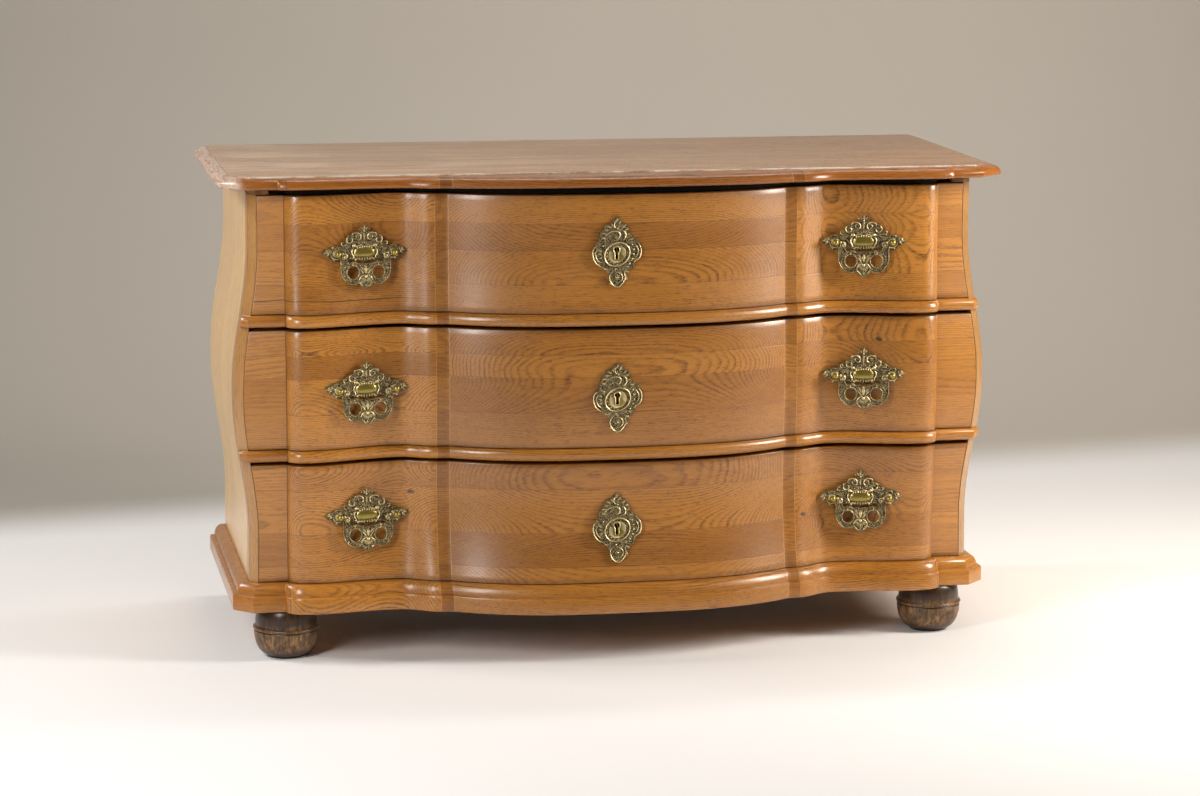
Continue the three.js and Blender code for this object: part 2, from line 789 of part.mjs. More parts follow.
// Pierced bail with two loops beside a leaf, and a pin at each end.
function handleBail() {
  const reach = postPlace - knobRadius - bailSideGap;
  const pinReach = postPlace - postRadius + pinLength;
  const across = (share) => share * reach;
  const down = (share) => share * bailDrop;
  const points = (shares) => shares.map(([a, b]) => new THREE.Vector2(across(a), down(b)));
  const eye = [new THREE.Vector2(across(eyeInnerShare), bailEye), new THREE.Vector2(reach, bailEye)];
  const rightHalf = [...points(bailInnerShares), ...eye, ...points(bailOuterShares)];
  const leftHalf = rightHalf.slice(1, -1).reverse().map((p) => new THREE.Vector2(-p.x, p.y));
  const shape = new THREE.Shape([...rightHalf, ...leftHalf].reverse());
  for (const [, side] of sides) {
    const loop = [];
    for (let i = 0; i < loopSegments; i++) {
      const turn = 4 * quarter * i / loopSegments;
      loop.push(new THREE.Vector2(
        side * across(loopPlaceShare) + loopHalfWidth * Math.cos(turn),
        -down(loopDropShare) + loopHalfHeight * Math.sin(turn),
      ));
    }
    shape.holes.push(new THREE.Path(loop));
  }
  const back = pivotOut - bailThickness / 2;
  const parts = [bevelled(shape, bailThickness, bailBevel).translate(0, 0, back)];
  for (const [, side] of sides) {
    parts.push(rod(pinRadius, reach - bailEye, pinReach, pinSegments)
      .rotateY(side * quarter)
      .translate(0, 0, pivotOut));
  }
  return joined(parts);
}

function makeEscutcheon(group, name, index) {
  const z = keyholeLevel(index);
  const shape = new THREE.Shape(ornateOutline(escutcheonShares, escutcheonHalfWidth, escutcheonRise));
  const body = joined([
    bevelled(shape, escutcheonThickness, plateBevel),
    cushion(0, cartoucheHalfWidth, cartoucheHalfHeight, escutcheonThickness - plateBevel, cartoucheRise),
  ]);
  const hole = new THREE.ExtrudeGeometry(keyholeShape(), {
    depth: 2 * overrun + escutcheonThickness, bevelEnabled: false, steps: 1,
  }).translate(0, 0, -overrun);
  const mesh = place(group, name + "_escutcheon", cut(body, [hole]), brass);
  mesh.applyMatrix4(seatOnFront(keyholeShift, z, escutcheonHalfWidth, escutcheonRise));
}

// Drawers

function insideLine() {
  const boxInner = boxHalfWidth - boxWall;
  const lobeInner = boxInner - cheekWidth;
  const half = [0, stripInner / 2, stripInner, hollowPlace, lobeInner].map((x) => [
    x, frontThickness - frontDepth(x, drawerPlan),
  ]);
  return [...half.slice(1).reverse().map(flip), ...half];
}

function drawerFront(index) {
  const bottom = drawerBottoms[index];
  const boxInner = boxHalfWidth - boxWall;
  return tallLoft(bottom, bottom + drawerHeights[index], (z) => {
    const edge = halfWidth(z) - cantWidth - 2 * touch;
    const outer = [-edge, ...stations, edge].map((x) => [x, frontY(x, z)]);
    const inner = [
      [-edge, frontThickness], [-boxInner, frontThickness], ...insideLine(),
      [boxInner, frontThickness], [edge, frontThickness],
    ];
    return [...outer, ...inner.reverse()];
  });
}

function makeDrawer(index) {
  const name = drawerNames[index];
  const group = new THREE.Group();
  chest.add(group);
  const level = drawerBottoms[index] - gapUnderDrawer + touch;
  const inner = boxHalfWidth - boxWall - touch;
  const behindFront = frontThickness + touch;
  const boxTop = level + drawerHeights[index] - boxSetDown;
  const handleLevel = drawerBottoms[index] + drawerHeights[index] / 2 + handleRises[index];
  const cutters = [
    lockBox(index, touch, overrun, overrun),
    keyholeCutter(index, frontY(0, keyholeLevel(index)) - overrun, frontThickness - drawerPlan.bow),
  ];
  for (const [word, side] of sides) {
    const seat = seatOnFront(side * handlePlace, handleLevel, plateHalfWidth, plateRise);
    // The shanks end in square nuts just inside the front, past its thickest stretch here.
    const reach = thicknessAlong(seat) + touch;
    const hardware = new THREE.Group();
    hardware.applyMatrix4(seat);
    group.add(hardware);
    const shares = (index === 0 || (index === 2 && side < 0)) ? roundPlateShares : diamondPlateShares;
    place(hardware, name + "_" + word + "_handle_plate", handlePlate(shares, reach), brass);
    place(hardware, name + "_" + word + "_bail", handleBail(), brass);
    for (const end of [-1, 1]) {
      cutters.push(rod(shankRadius + shankClearance, -reach - overrun, overrun, shankSegments)
        .translate(end * postPlace, 0, 0)
        .applyMatrix4(seat));
    }
    const wall = side > 0 ? [boxHalfWidth - boxWall, boxHalfWidth] : [-boxHalfWidth, boxWall - boxHalfWidth];
    place(group, name + "_" + word + "_side",
      box(...wall, behindFront, boxBack, level, boxTop), plainOak);
  }
  place(group, name + "_front", cut(drawerFront(index), cutters), oak);
  const floor = level + boxBottomRise;
  const frontEdge = insideLine().map(([x, y]) => [x, y + touch]);
  const board = [
    [-inner, behindFront], ...frontEdge, [inner, behindFront], [inner, boxBack], [-inner, boxBack],
  ];
  place(group, name + "_bottom",
    loft([atHeight(floor, board), atHeight(floor + boxBottomThickness, board)]), plainOak);
  place(group, name + "_back",
    box(-inner, inner, boxBack - boxWall, boxBack, floor + boxBottomThickness + touch, boxTop), plainOak);
  makeEscutcheon(group, name, index);
  makeLock(group, name, index);
}

// Distance from a seated casting's back, along its shanks, to the inside of the front.
function thicknessAlong(seat) {
  let most = 0;
  for (const end of [-1, 1]) {
    for (const corner of [-1, 1]) {
      const start = new THREE.Vector3(end * postPlace + corner * nutSize / 2, 0, 0).applyMatrix4(seat);
      const out = new THREE.Vector3(0, 0, 1).transformDirection(seat);
      most = Math.max(most, (insideY(start.x) - start.y) / -out.y);
    }
  }
  return most;
}

// The inside of the front at a place across, read on the straight stretches of its outline.
function insideY(x) {
  const line = insideLine();
  const i = Math.max(1, line.findIndex(([end]) => end >= x));
  return THREE.MathUtils.mapLinear(x, line[i - 1][0], line[i][0], line[i - 1][1], line[i][1]);
}

function makeCarcase() {
  const group = new THREE.Group();
  chest.add(group);
  place(group, "top_panel", topPanel(), topOak);
  place(group, "top_moulding", topMoulding(), oak);
  place(group, "top_rail", topRail(boltMortise(0)), oak);
  place(group, "upper_rail", beadRail(railBottoms[0], boltMortise(1)), oak);
  place(group, "lower_rail", beadRail(railBottoms[1], boltMortise(2)), oak);
  place(group, "back_board", backBoard(), plainOak);
  place(group, "bottom_board", bottomBoard(), plainOak);
  place(group, "base_front", baseFront(), oak);
  for (const [word, side] of sides) {
    place(group, word + "_side", sideBoard(side), oak);
    place(group, word + "_stile", stile(side), oak);
    place(group, "base_" + word, baseSide(side), oak);
    const foot = bunFoot();
    const feet = [["front", frontFootY], ["back", carcaseDepth - backFootInset]];
    for (const [end, y] of feet) {
      place(group, end + "_" + word + "_foot", foot, darkOak).position.set(side * footPlace, y, 0);
    }
    drawerNames.forEach((name, index) => {
      place(group, name + "_" + word + "_runner", runner(side, index), plainOak);
    });
  }
}

makeCarcase();
drawerNames.forEach((name, index) => makeDrawer(index));

// The middle of the depth, from the bow of the base to the back of the top, stands over the origin.
const foremost = frontY(0, fasciaTop) - baseProjection;
for (const group of chest.children) group.position.y = -(foremost + topBack) / 2;

export default chest;
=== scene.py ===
"""Looks of a baroque oak chest of drawers: serpentine front, bombé sides, bun feet and cast brass fittings.

Metres, X to the right, Y to the back, Z up, with the floor at zero.
"""
import math

import bmesh
import bpy
import numpy as np
from bpy.props import FloatProperty, FloatVectorProperty, PointerProperty
from mathutils import Matrix, Vector


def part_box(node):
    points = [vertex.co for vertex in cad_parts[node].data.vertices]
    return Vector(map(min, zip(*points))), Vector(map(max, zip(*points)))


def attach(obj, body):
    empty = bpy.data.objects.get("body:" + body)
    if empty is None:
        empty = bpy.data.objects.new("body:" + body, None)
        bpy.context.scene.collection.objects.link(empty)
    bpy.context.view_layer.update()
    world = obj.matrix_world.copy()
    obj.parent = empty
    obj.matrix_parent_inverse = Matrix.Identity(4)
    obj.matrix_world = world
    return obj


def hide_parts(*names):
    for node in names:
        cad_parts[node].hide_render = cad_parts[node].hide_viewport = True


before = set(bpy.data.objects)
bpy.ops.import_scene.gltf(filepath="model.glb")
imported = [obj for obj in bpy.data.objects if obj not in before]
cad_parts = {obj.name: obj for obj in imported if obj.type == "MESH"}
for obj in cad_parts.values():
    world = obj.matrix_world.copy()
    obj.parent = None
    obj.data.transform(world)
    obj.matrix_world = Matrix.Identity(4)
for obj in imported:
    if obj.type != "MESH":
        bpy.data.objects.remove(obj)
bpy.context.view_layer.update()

bl_info = {
    "name": "Baroque Chest of Drawers",
    "version": (1, 0, 0),
    "blender": (4, 5, 0),
    "location": "View3D > Sidebar > Chest",
    "description": "Builds the oak, the mouldings and the brass fittings of a serpentine chest of drawers",
    "category": "Object",
}

# Sizes of the carcase. The depths are read from the flat ends of the front.
CARCASE_DEPTH = 0.487
HALF_WIDTH = 0.624
CANT = 0.015
SIDE_START = 0.0443
SIDE_THICKNESS = 0.022
STILE_DEPTH = 0.070
STILE_INNER = 0.571
FRONT_THICKNESS = 0.030
RECESS_END = 0.522
FLAT_BACK = 0.558
FIT = 0.0003
ORIGIN_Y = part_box("back_board")[1].y - CARCASE_DEPTH

FOOT_HEIGHT = 0.0845
FASCIA_TOP = 0.112
BASE_TOP = 0.131
STILE_TOP = 0.7895
UNDER_TOP = 0.802
TOP_LEVEL = 0.822
RAIL_BOTTOMS = {"upper_rail": 0.568, "lower_rail": 0.3395}
RAIL_HEIGHT = 0.020
RAIL_DEPTH = 0.080
BOLT_THROW = 0.014
BOLT_ROOM = 0.0005
RECESS_ROOM = 0.006

# Swelling of the sides and the front
BULGE = 0.027
BULGE_LEVEL = 0.455
BULGE_REACH = 0.250
FOOT_FLARE = 0.005
APRON = 0.030
APRON_TOP = 0.333

# Serpentine plan: places across, and how far the front stands before its flat ends there
STRIP_INNER = 0.290
STRIP_OUTER = 0.312
HOLLOW = 0.372
LOBE = 0.534
SEAM = 0.564
BOW_POWER = 3
DRAWER_PLAN = {
    "bow": 0.076, "strip_in": 0.015, "strip_out": 0.013, "hollow": -0.009, "lobe": 0.022, "shoulder_out": 0.0,
}
BASE_PLAN = {**DRAWER_PLAN, "shoulder_out": 0.0065}
TOP_PLAN = {
    "bow": 0.048, "strip_in": 0.021, "strip_out": 0.019, "hollow": 0.002, "lobe": 0.008,
    "shoulder_out": 0.014,
}

# Mouldings
BEAD = 0.011
BEAD_FILLET = 0.002
BASE_PROJECTION = 0.028
OVOLO_PROJECTION = 0.020
OVOLO_TOP = 0.006
TOP_PROJECTION = 0.050
TOP_MOULDING = 0.021
TOP_BACK = 0.502
SLAB_DEPTH = 0.075
SLAB_INNER = 0.515

# Fittings
HANDLE_PLACE = 0.432
HANDLE_RISES = {"upper_drawer": 0.002, "middle_drawer": 0.0, "lower_drawer": 0.011}
HANDLE_REACH = 0.075
HANDLE_RISE = 0.044
KEYHOLE_PLACE = -0.015
KEYHOLE_LEVELS = {"upper_drawer": 0.690, "middle_drawer": 0.4455, "lower_drawer": 0.221}
ESCUTCHEON_REACH = 0.041
ESCUTCHEON_RISE = 0.059
SEAT_CORNER_SHARE = 1.3
SEAT_STEPS = 12
MILLIMETRE = 0.001

# Edges that turn by more than this are shaded sharp, and those of the last two are rounded
BOARD_ANGLE = math.radians(32)
MOULDING_ANGLE = math.radians(38)
CASTING_ANGLE = math.radians(50)
STILE_ANGLE = math.radians(40)
ARRIS_ANGLE = math.radians(50)

DRAWERS = ("upper_drawer", "middle_drawer", "lower_drawer")
SIDES = (("left", -1), ("right", 1))
MITRE = math.tan(math.pi / 8)
MERGE_DISTANCE = 1e-6
ROOT_TWO = math.sqrt(2)
UPRIGHT_GRAIN = (0, math.pi / 2, 0)
# Heights of the edge darkening that lie beyond the chest, for wood without it
CLEAN_EDGES = (-1.0, 2.0)
# Black put into wood that stands in deep shade: painted shade
PAINTED_SHADE_BLACK = (0.004, 0.003, 0.002)
BOARD_SEED, FIELD_SEED, SIDE_SEED = 7.31, 2.93, 1.71
JOINT_LINE = 0.0011
SEAM_LINE = 0.0012


# Curves of the front and the sides


def clamp(value):
    return min(1.0, max(0.0, value))


def lerp(a, b, share):
    return a + (b - a) * share


def ease(a, b, share):
    return lerp(a, b, 0.5 - 0.5 * math.cos(math.pi * share))


def levels(low, high, count):
    return [lerp(low, high, i / count) for i in range(count + 1)]


def quarter(count):
    """The angles of a quarter turn, in equal steps."""
    return levels(0, math.pi / 2, count)


def circle(count):
    return [2 * math.pi * i / count for i in range(count)]


def bulge(z):
    away = clamp(abs(z - BULGE_LEVEL) / BULGE_REACH)
    flare = clamp((BULGE_LEVEL - z) / (BULGE_LEVEL - BASE_TOP))
    return BULGE * math.cos(math.pi / 2 * away) ** 2 + FOOT_FLARE * flare


def half_width(z):
    return HALF_WIDTH + bulge(z)


def front_depth(x, plan):
    a = abs(x)
    if a <= STRIP_INNER:
        return lerp(plan["bow"], plan["strip_in"], (a / STRIP_INNER) ** BOW_POWER)
    if a <= STRIP_OUTER:
        return lerp(plan["strip_in"], plan["strip_out"], (a - STRIP_INNER) / (STRIP_OUTER - STRIP_INNER))
    if a <= HOLLOW:
        return ease(plan["strip_out"], plan["hollow"], (a - STRIP_OUTER) / (HOLLOW - STRIP_OUTER))
    if a <= LOBE:
        return ease(plan["hollow"], plan["lobe"], (a - HOLLOW) / (LOBE - HOLLOW))
    if a < SEAM:
        return plan["lobe"] * math.sqrt(1 - ((a - LOBE) / (SEAM - LOBE)) ** 2)
    return 0.0


def flat_front(z):
    """Y of the flat ends of the front, in the row frame."""
    return ORIGIN_Y - bulge(z) / 2


def front_y(x, z, plan=DRAWER_PLAN):
    apron = APRON * clamp((APRON_TOP - z) / (APRON_TOP - BASE_TOP)) ** 2
    share = clamp((SEAM - abs(x)) / (SEAM - STRIP_OUTER))
    return flat_front(z) - front_depth(x, plan) - apron * share


def depth(y):
    """A depth behind the flat ends of the front, as Y in the row frame."""
    return ORIGIN_Y + y


def stations():
    """The places across the front that every loft runs through."""
    half = [STRIP_INNER * math.sin(turn) for turn in quarter(22)]
    for low, high, count in ((STRIP_INNER, STRIP_OUTER, 3), (STRIP_OUTER, HOLLOW, 8), (HOLLOW, LOBE, 14)):
        half += levels(low, high, count)[1:]
    half += [lerp(LOBE, SEAM, math.sin(turn)) for turn in quarter(9)[1:]]
    return [-x for x in reversed(half[1:])] + half


STATIONS = stations()


def cant_front(z, projection):
    return half_width(z) - CANT + MITRE * projection, flat_front(z) - projection


def cant_end(z, projection):
    return half_width(z) + projection, flat_front(z) + CANT - MITRE * projection


def flip(point):
    return -point[0], point[1]


def around(middle, right):
    """A line from left to right, with the points of its right end on both ends."""
    return [flip(point) for point in reversed(right)] + middle + right


def mirror_outline(side, outline):
    return outline if side > 0 else [flip(point) for point in reversed(outline)]


def moulded_front(z, projection, plan):
    """The line of a moulding. The shoulders of wide mouldings stand further out than the drawers'."""
    line = []
    for x in STATIONS:
        lobe = clamp((abs(x) - HOLLOW) / (LOBE - HOLLOW))
        line.append((x + math.copysign(plan["shoulder_out"] * lobe, x), front_y(x, z, plan) - projection))
    return around(line, [cant_front(z, projection)])


def inside_line():
    """The right half of the hollowed back of a drawer front."""
    places = (0.0, STRIP_INNER / 2, STRIP_INNER, HOLLOW, RECESS_END)
    return [(x, depth(FRONT_THICKNESS - front_depth(x, DRAWER_PLAN))) for x in places]


# Mesh helpers


def loft(sections):
    """A body through level outlines, given as (height, outline) pairs with equally many points."""
    columns = len(sections[0][1])
    rows = len(sections) - 1
    bm = bmesh.new()
    bmesh.ops.create_grid(bm, x_segments=columns, y_segments=rows, size=1)
    for vert in bm.verts:
        column = round((vert.co.x + 1) / 2 * columns) % columns
        height, outline = sections[round((vert.co.y + 1) / 2 * rows)]
        vert.co = (*outline[column], height)
    bmesh.ops.remove_doubles(bm, verts=bm.verts, dist=MERGE_DISTANCE)
    bmesh.ops.edgeloop_fill(bm, edges=[edge for edge in bm.edges if edge.is_boundary])
    bmesh.ops.recalc_face_normals(bm, faces=bm.faces)
    return bm


def turned(bm, profile, place, segments=64):
    """Adds a closed turned body from (radius, height) points that start and end on the axis."""
    start = len(bm.verts)
    chain = [bm.verts.new((place[0] + radius, place[1], place[2] + height)) for radius, height in profile]
    edges = [bm.edges.new(pair) for pair in zip(chain, chain[1:])]
    bmesh.ops.spin(
        bm, geom=chain + edges, cent=place, axis=(0, 0, 1), angle=2 * math.pi, steps=segments, use_merge=True
    )
    bmesh.ops.remove_doubles(bm, verts=list(bm.verts)[start:], dist=MERGE_DISTANCE)


def bevel(bm, edges, width, segments=2, clamp_overlap=False):
    bmesh.ops.bevel(
        bm, geom=edges, offset=width, affect="EDGES", segments=segments, profile=0.5, material=-1,
        clamp_overlap=clamp_overlap,
    )


def corners(bm, angle):
    """The edges that turn by more than an angle."""
    return [edge for edge in bm.edges if edge.is_manifold and edge.calc_face_angle(0) > angle]


def soften(bm, width, angle=ARRIS_ANGLE, segments=2):
    """Rounds the sharp edges a little."""
    bevel(bm, corners(bm, angle), width, segments, clamp_overlap=True)


def carved(bm, cutters):
    """The body with the cutting bodies taken out of it."""
    objects = []
    for body in (bm, *cutters):
        mesh = bpy.data.meshes.new("carving")
        body.to_mesh(mesh)
        body.free()
        objects.append(bpy.data.objects.new("carving", mesh))
        bpy.context.scene.collection.objects.link(objects[-1])
    target = objects[0]
    for cutter in objects[1:]:
        step = target.modifiers.new("Carve", "BOOLEAN")
        step.operation = "DIFFERENCE"
        step.solver = "EXACT"
        step.object = cutter
    made = bmesh.new()
    made.from_object(target, bpy.context.evaluated_depsgraph_get())
    for item in objects:
        mesh = item.data
        bpy.data.objects.remove(item)
        bpy.data.meshes.remove(mesh)
    return made


def block(low, high):
    """A box between two corners, to cut with."""
    made = bmesh.new()
    place = Matrix.Translation((low + high) / 2) @ Matrix.Diagonal((*(high - low), 1))
    bmesh.ops.create_cube(made, size=1, matrix=place)
    return made


def add_object(bm, name, material):
    """Makes the finished mesh an object with smooth faces."""
    for face in bm.faces:
        face.smooth = True
    mesh = bpy.data.meshes.new(name)
    bm.to_mesh(mesh)
    bm.free()
    mesh.materials.append(material)
    made = bpy.data.objects.new(name, mesh)
    bpy.context.scene.collection.objects.link(made)
    return made


def piece(bm, name, material, *replaced, body="carcase", slot="oak", angle=BOARD_ANGLE):
    """Makes the finished mesh an object that rides on a body and stands for CAD nodes."""
    for edge in corners(bm, angle):
        edge.smooth = False
    made = add_object(bm, name, material)
    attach(made, body)
    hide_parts(*replaced)


def dress(node, material):
    """Gives a CAD node, kept as it is, its material."""
    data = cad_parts[node].data
    data.materials.clear()
    data.materials.append(material)


# Cast ornament, drawn in millimetres on its plate: x across, y up, z out of the wood


def smooth_line(points, closed=False, count=5):
    """A smooth line through the points."""
    points = [Vector(point).to_3d() for point in points]
    if closed:
        points = [points[-1], *points, points[0], points[1]]
    else:
        points = [2 * points[0] - points[1], *points, 2 * points[-1] - points[-2]]
    line = []
    for before, start, end, after in zip(points, points[1:], points[2:], points[3:]):
        for i in range(count):
            t = i / count
            bend = 2 * before - 5 * start + 4 * end - after
            twist = 3 * start - before - 3 * end + after
            line.append(start + 0.5 * t * ((end - before) + t * bend + t * t * twist))
    return line if closed else line + [points[-2]]


def oval(centre, half_width, half_height, turns):
    return [
        Vector((centre[0] + half_width * math.cos(t), centre[1] + half_height * math.sin(t), 0))
        for t in turns
    ]


def spiral(centre, radius, end_radius, start, sweep, count=18):
    """A spiral line, with its angles in degrees."""
    line = []
    for i in range(count + 1):
        reach = lerp(radius, end_radius, i / count)
        line += oval(centre, reach, reach, [math.radians(start + sweep * i / count)])
    return line


def across_line(line, i, closed):
    last = len(line) - 1
    ahead = line[(i + 1) % len(line)] if closed else line[min(i + 1, last)]
    behind = line[i - 1] if closed else line[max(i - 1, 0)]
    return (ahead - behind).cross(Vector((0, 0, 1))).normalized()


def shifted(line, reach, closed=False):
    """The line moved sideways in the plane of the plate."""
    return [point + across_line(line, i, closed) * reach for i, point in enumerate(line)]


def handed(line, side):
    """The line on the right hand of a plate as it is, or mirrored on the left."""
    return [Vector((side * point.x, point.y, point.z)) for point in line]


def strand(bm, line, width, height, level=0.0, taper=0.4, closed=False, sides=8):
    """A ridge along a line, with an oval section that narrows to its ends."""
    rows = len(line) if closed else len(line) - 1
    verts = bmesh.ops.create_grid(bm, x_segments=sides, y_segments=rows, size=1)["verts"]
    for vert in verts:
        turn = math.pi * (vert.co.x + 1)
        row = round((vert.co.y + 1) / 2 * rows)
        i = row % len(line)
        size = 1 if closed else lerp(taper, 1, clamp(math.sin(math.pi * row / rows)) ** 0.6)
        out = Vector((0, 0, level + height * size * math.sin(turn)))
        vert.co = line[i] + across_line(line, i, closed) * width * size * math.cos(turn) + out
    bmesh.ops.remove_doubles(bm, verts=verts, dist=1e-4)
    ends = {edge for vert in verts if vert.is_valid for edge in vert.link_edges if edge.is_boundary}
    if ends:
        bmesh.ops.edgeloop_fill(bm, edges=list(ends))


def leaf(bm, root, tip, width, height, level, bow=0.0):
    """A pointed leaf between two points, bent sideways by bow."""
    start, end = Vector(root).to_3d(), Vector(tip).to_3d()
    side = (end - start).cross(Vector((0, 0, 1))).normalized() * bow
    strand(
        bm, smooth_line([start, (start + end) / 2 + side, end], count=4), width, height, level, 0.05, sides=6,
    )


def fan(bm, centre, inner, outer, start, sweep, count, width, height, level):
    """Leaves spread round a centre, with their angles in degrees."""
    for i in range(count):
        turn = math.radians(start + sweep * i / (count - 1))
        way = Vector((math.cos(turn), math.sin(turn)))
        leaf(bm, Vector(centre) + way * inner, Vector(centre) + way * outer, width, height, level)


def boss(bm, centre, half_width, half_height, rise, level=0.0, segments=12, square=2.0, polish=0.0):
    """A domed boss. Past 2, square draws its outline out towards a rectangle."""
    verts = bmesh.ops.create_uvsphere(bm, u_segments=segments, v_segments=8, radius=1)["verts"]
    layer = bm.verts.layers.float["polish"]
    for vert in verts:
        x, y, z = vert.co
        reach = math.hypot(x, y)
        if reach > 1e-6:
            stretch = reach / (abs(x) ** square + abs(y) ** square) ** (1 / square)
            x, y = x * stretch, y * stretch
        vert.co = (centre[0] + x * half_width, centre[1] + y * half_height, level + z * rise)
        vert[layer] = polish


def slab(bm, outlines, thickness, level=0.0, rounding=0.5):
    """A flat plate with a soft edge. Outlines after the first are holes."""
    edges = []
    for outline in outlines:
        verts = bmesh.ops.create_circle(bm, segments=len(outline), radius=1)["verts"]
        for vert, point in zip(verts, outline):
            vert.co = (point.x, point.y, level)
        edges += {edge for vert in verts for edge in vert.link_edges}
    made = bmesh.ops.triangle_fill(bm, edges=edges, use_beauty=True)["geom"]
    faces = [item for item in made if isinstance(item, bmesh.types.BMFace)]
    raised = bmesh.ops.extrude_face_region(bm, geom=faces)["geom"]
    verts = [item for item in raised if isinstance(item, bmesh.types.BMVert)]
    bmesh.ops.translate(bm, verts=verts, vec=(0, 0, thickness))
    rims = [
        item for item in raised
        if isinstance(item, bmesh.types.BMEdge) and any(abs(face.normal.z) < 0.5 for face in item.link_faces)
    ]
    bevel(bm, rims, rounding)


def rod(bm, start, end, radius):
    start, end = Vector(start), Vector(end)
    turn = (end - start).to_track_quat("Z", "Y").to_matrix().to_4x4()
    bmesh.ops.create_cone(
        bm, cap_ends=True, segments=12, radius1=radius, radius2=radius, depth=(end - start).length,
        matrix=Matrix.Translation((start + end) / 2) @ turn,
    )


def ornament(bm, side, top, ridges=(), scrolls=(), leaves=(), bosses=()):
    """Draws the relief of one hand. Its pieces are listed for the right hand, with levels over the top."""
    for points, width, height, level, *taper in ridges:
        strand(bm, handed(smooth_line(points), side), width, height, top + level, *taper)
    for turns, width, height, level, *taper in scrolls:
        strand(bm, handed(spiral(*turns), side), width, height, top + level, *taper)
    for root, tip, width, height, *bow in leaves:
        points = handed([Vector(root).to_3d(), Vector(tip).to_3d()], side)
        leaf(bm, *points, width, height, top, *[side * value for value in bow])
    for (x, y), width, height, rise, level, segments in bosses:
        boss(bm, (side * x, y), width, height, rise, top + level, segments)


def new_casting():
    bm = bmesh.new()
    bm.verts.layers.float.new("polish")
    return bm


def rimmed_plate(outline, *holes):
    """A flat casting with a raised rim."""
    bm = new_casting()
    slab(bm, [outline, *holes], PLATE_THICKNESS)
    strand(bm, shifted(outline, 0.8, True), 0.8, 1.0, PLATE_THICKNESS - 0.1, closed=True, sides=6)
    return bm


def finish_casting(bm, seat, low, name, body, node):
    """Marks the hollows and ridges over a low level, and seats the casting on the front."""
    bmesh.ops.recalc_face_normals(bm, faces=bm.faces)
    relief = bm.verts.layers.float.new("relief")
    polish = bm.verts.layers.float["polish"]
    for vert in bm.verts:
        vert[relief] = clamp((vert.co.z - low) / RELIEF_HEIGHT) + vert[polish]
    bm.transform(seat)
    finish = bpy.context.scene.chest_finish
    metal = shared("Cast Brass", brass, finish.brass_clean, finish.brass_tarnish, finish.brass_patina)
    piece(bm, name, metal, node, body=body, slot="brass", angle=CASTING_ANGLE)


def seat_on_front(x, z, across, up):
    """The pose of a casting, tangent to the wood and just clear of it, in millimetres of its plate."""
    def y(dx, dz):
        return front_y(x + dx, z + dz)

    slope_x = (y(across, 0) - y(-across, 0)) / (2 * across)
    slope_z = (y(0, up) - y(0, -up)) / (2 * up)
    out = Vector((slope_x, -1, slope_z)).normalized()
    right = Vector((1, slope_x, 0)).normalized()
    centre = Vector((x, y(0, 0), z))
    stand = 0
    shares = levels(-1, 1, 2 * SEAT_STEPS)
    for share_x in shares:
        for share_z in shares:
            if abs(share_x) + abs(share_z) <= SEAT_CORNER_SHARE:
                dx, dz = across * share_x, up * share_z
                stand = max(stand, (Vector((x + dx, y(dx, dz), z + dz)) - centre).dot(out))
    axes = Matrix((right, out.cross(right), out)).transposed().to_4x4()
    return Matrix.Translation(centre + out * (stand + FIT)) @ axes @ Matrix.Scale(MILLIMETRE, 4)


# Millimetres of the castings
PLATE_THICKNESS = 2.4
RELIEF_HEIGHT = 2.4
PLATE_RELIEF_LEVEL = 1.8
BAIL_RELIEF_LEVEL = 8.0
POST_PLACE = 49.0
POST_HEAD_START = 10.8
SHANK_RADIUS = 3
NUT = 10
PIVOT_OUT = 8.0
PIN_RADIUS = 1.8
POLISH = 0.7
KEYHOLE = (4.6, 4.6, 20)
# Outlines from the top round the right side, with the posts at y = 0
DIAMOND_PLATE = (
    (0, 49), (4, 43), (6, 38), (14, 35), (20, 29), (29, 25), (36, 22), (44, 15), (57, 13), (65, 9), (71, 4),
    (68, -2), (61, -4), (57, -9), (50, -13), (42, -11), (33, -12), (24, -10), (17, -13), (8, -12), (0, -15),
)
ROUND_PLATE = (
    (0, 45), (6, 41), (8, 37), (15, 35), (23, 32), (30, 26), (33, 19), (36, 14), (44, 11), (51, 13), (58, 9),
    (66, 7), (73, 2), (68, -4), (61, -6), (57, -12), (49, -14), (41, -12), (33, -13), (24, -11), (16, -13),
    (8, -13), (0, -15),
)
ESCUTCHEON = (
    (1, 61), (7, 57), (9, 49), (18, 48), (21, 37), (25, 28), (32, 25), (40, 15), (42, 4), (41, -9), (31, -14),
    (29, -25), (19, -31), (17, -42), (10, -52), (2, -58), (-6, -56), (-12, -46), (-14, -36), (-20, -28),
    (-28, -23), (-37, -16), (-41, -1), (-38, 11), (-31, 21), (-28, 34), (-22, 39), (-20, 47), (-10, 50),
    (-5, 56),
)


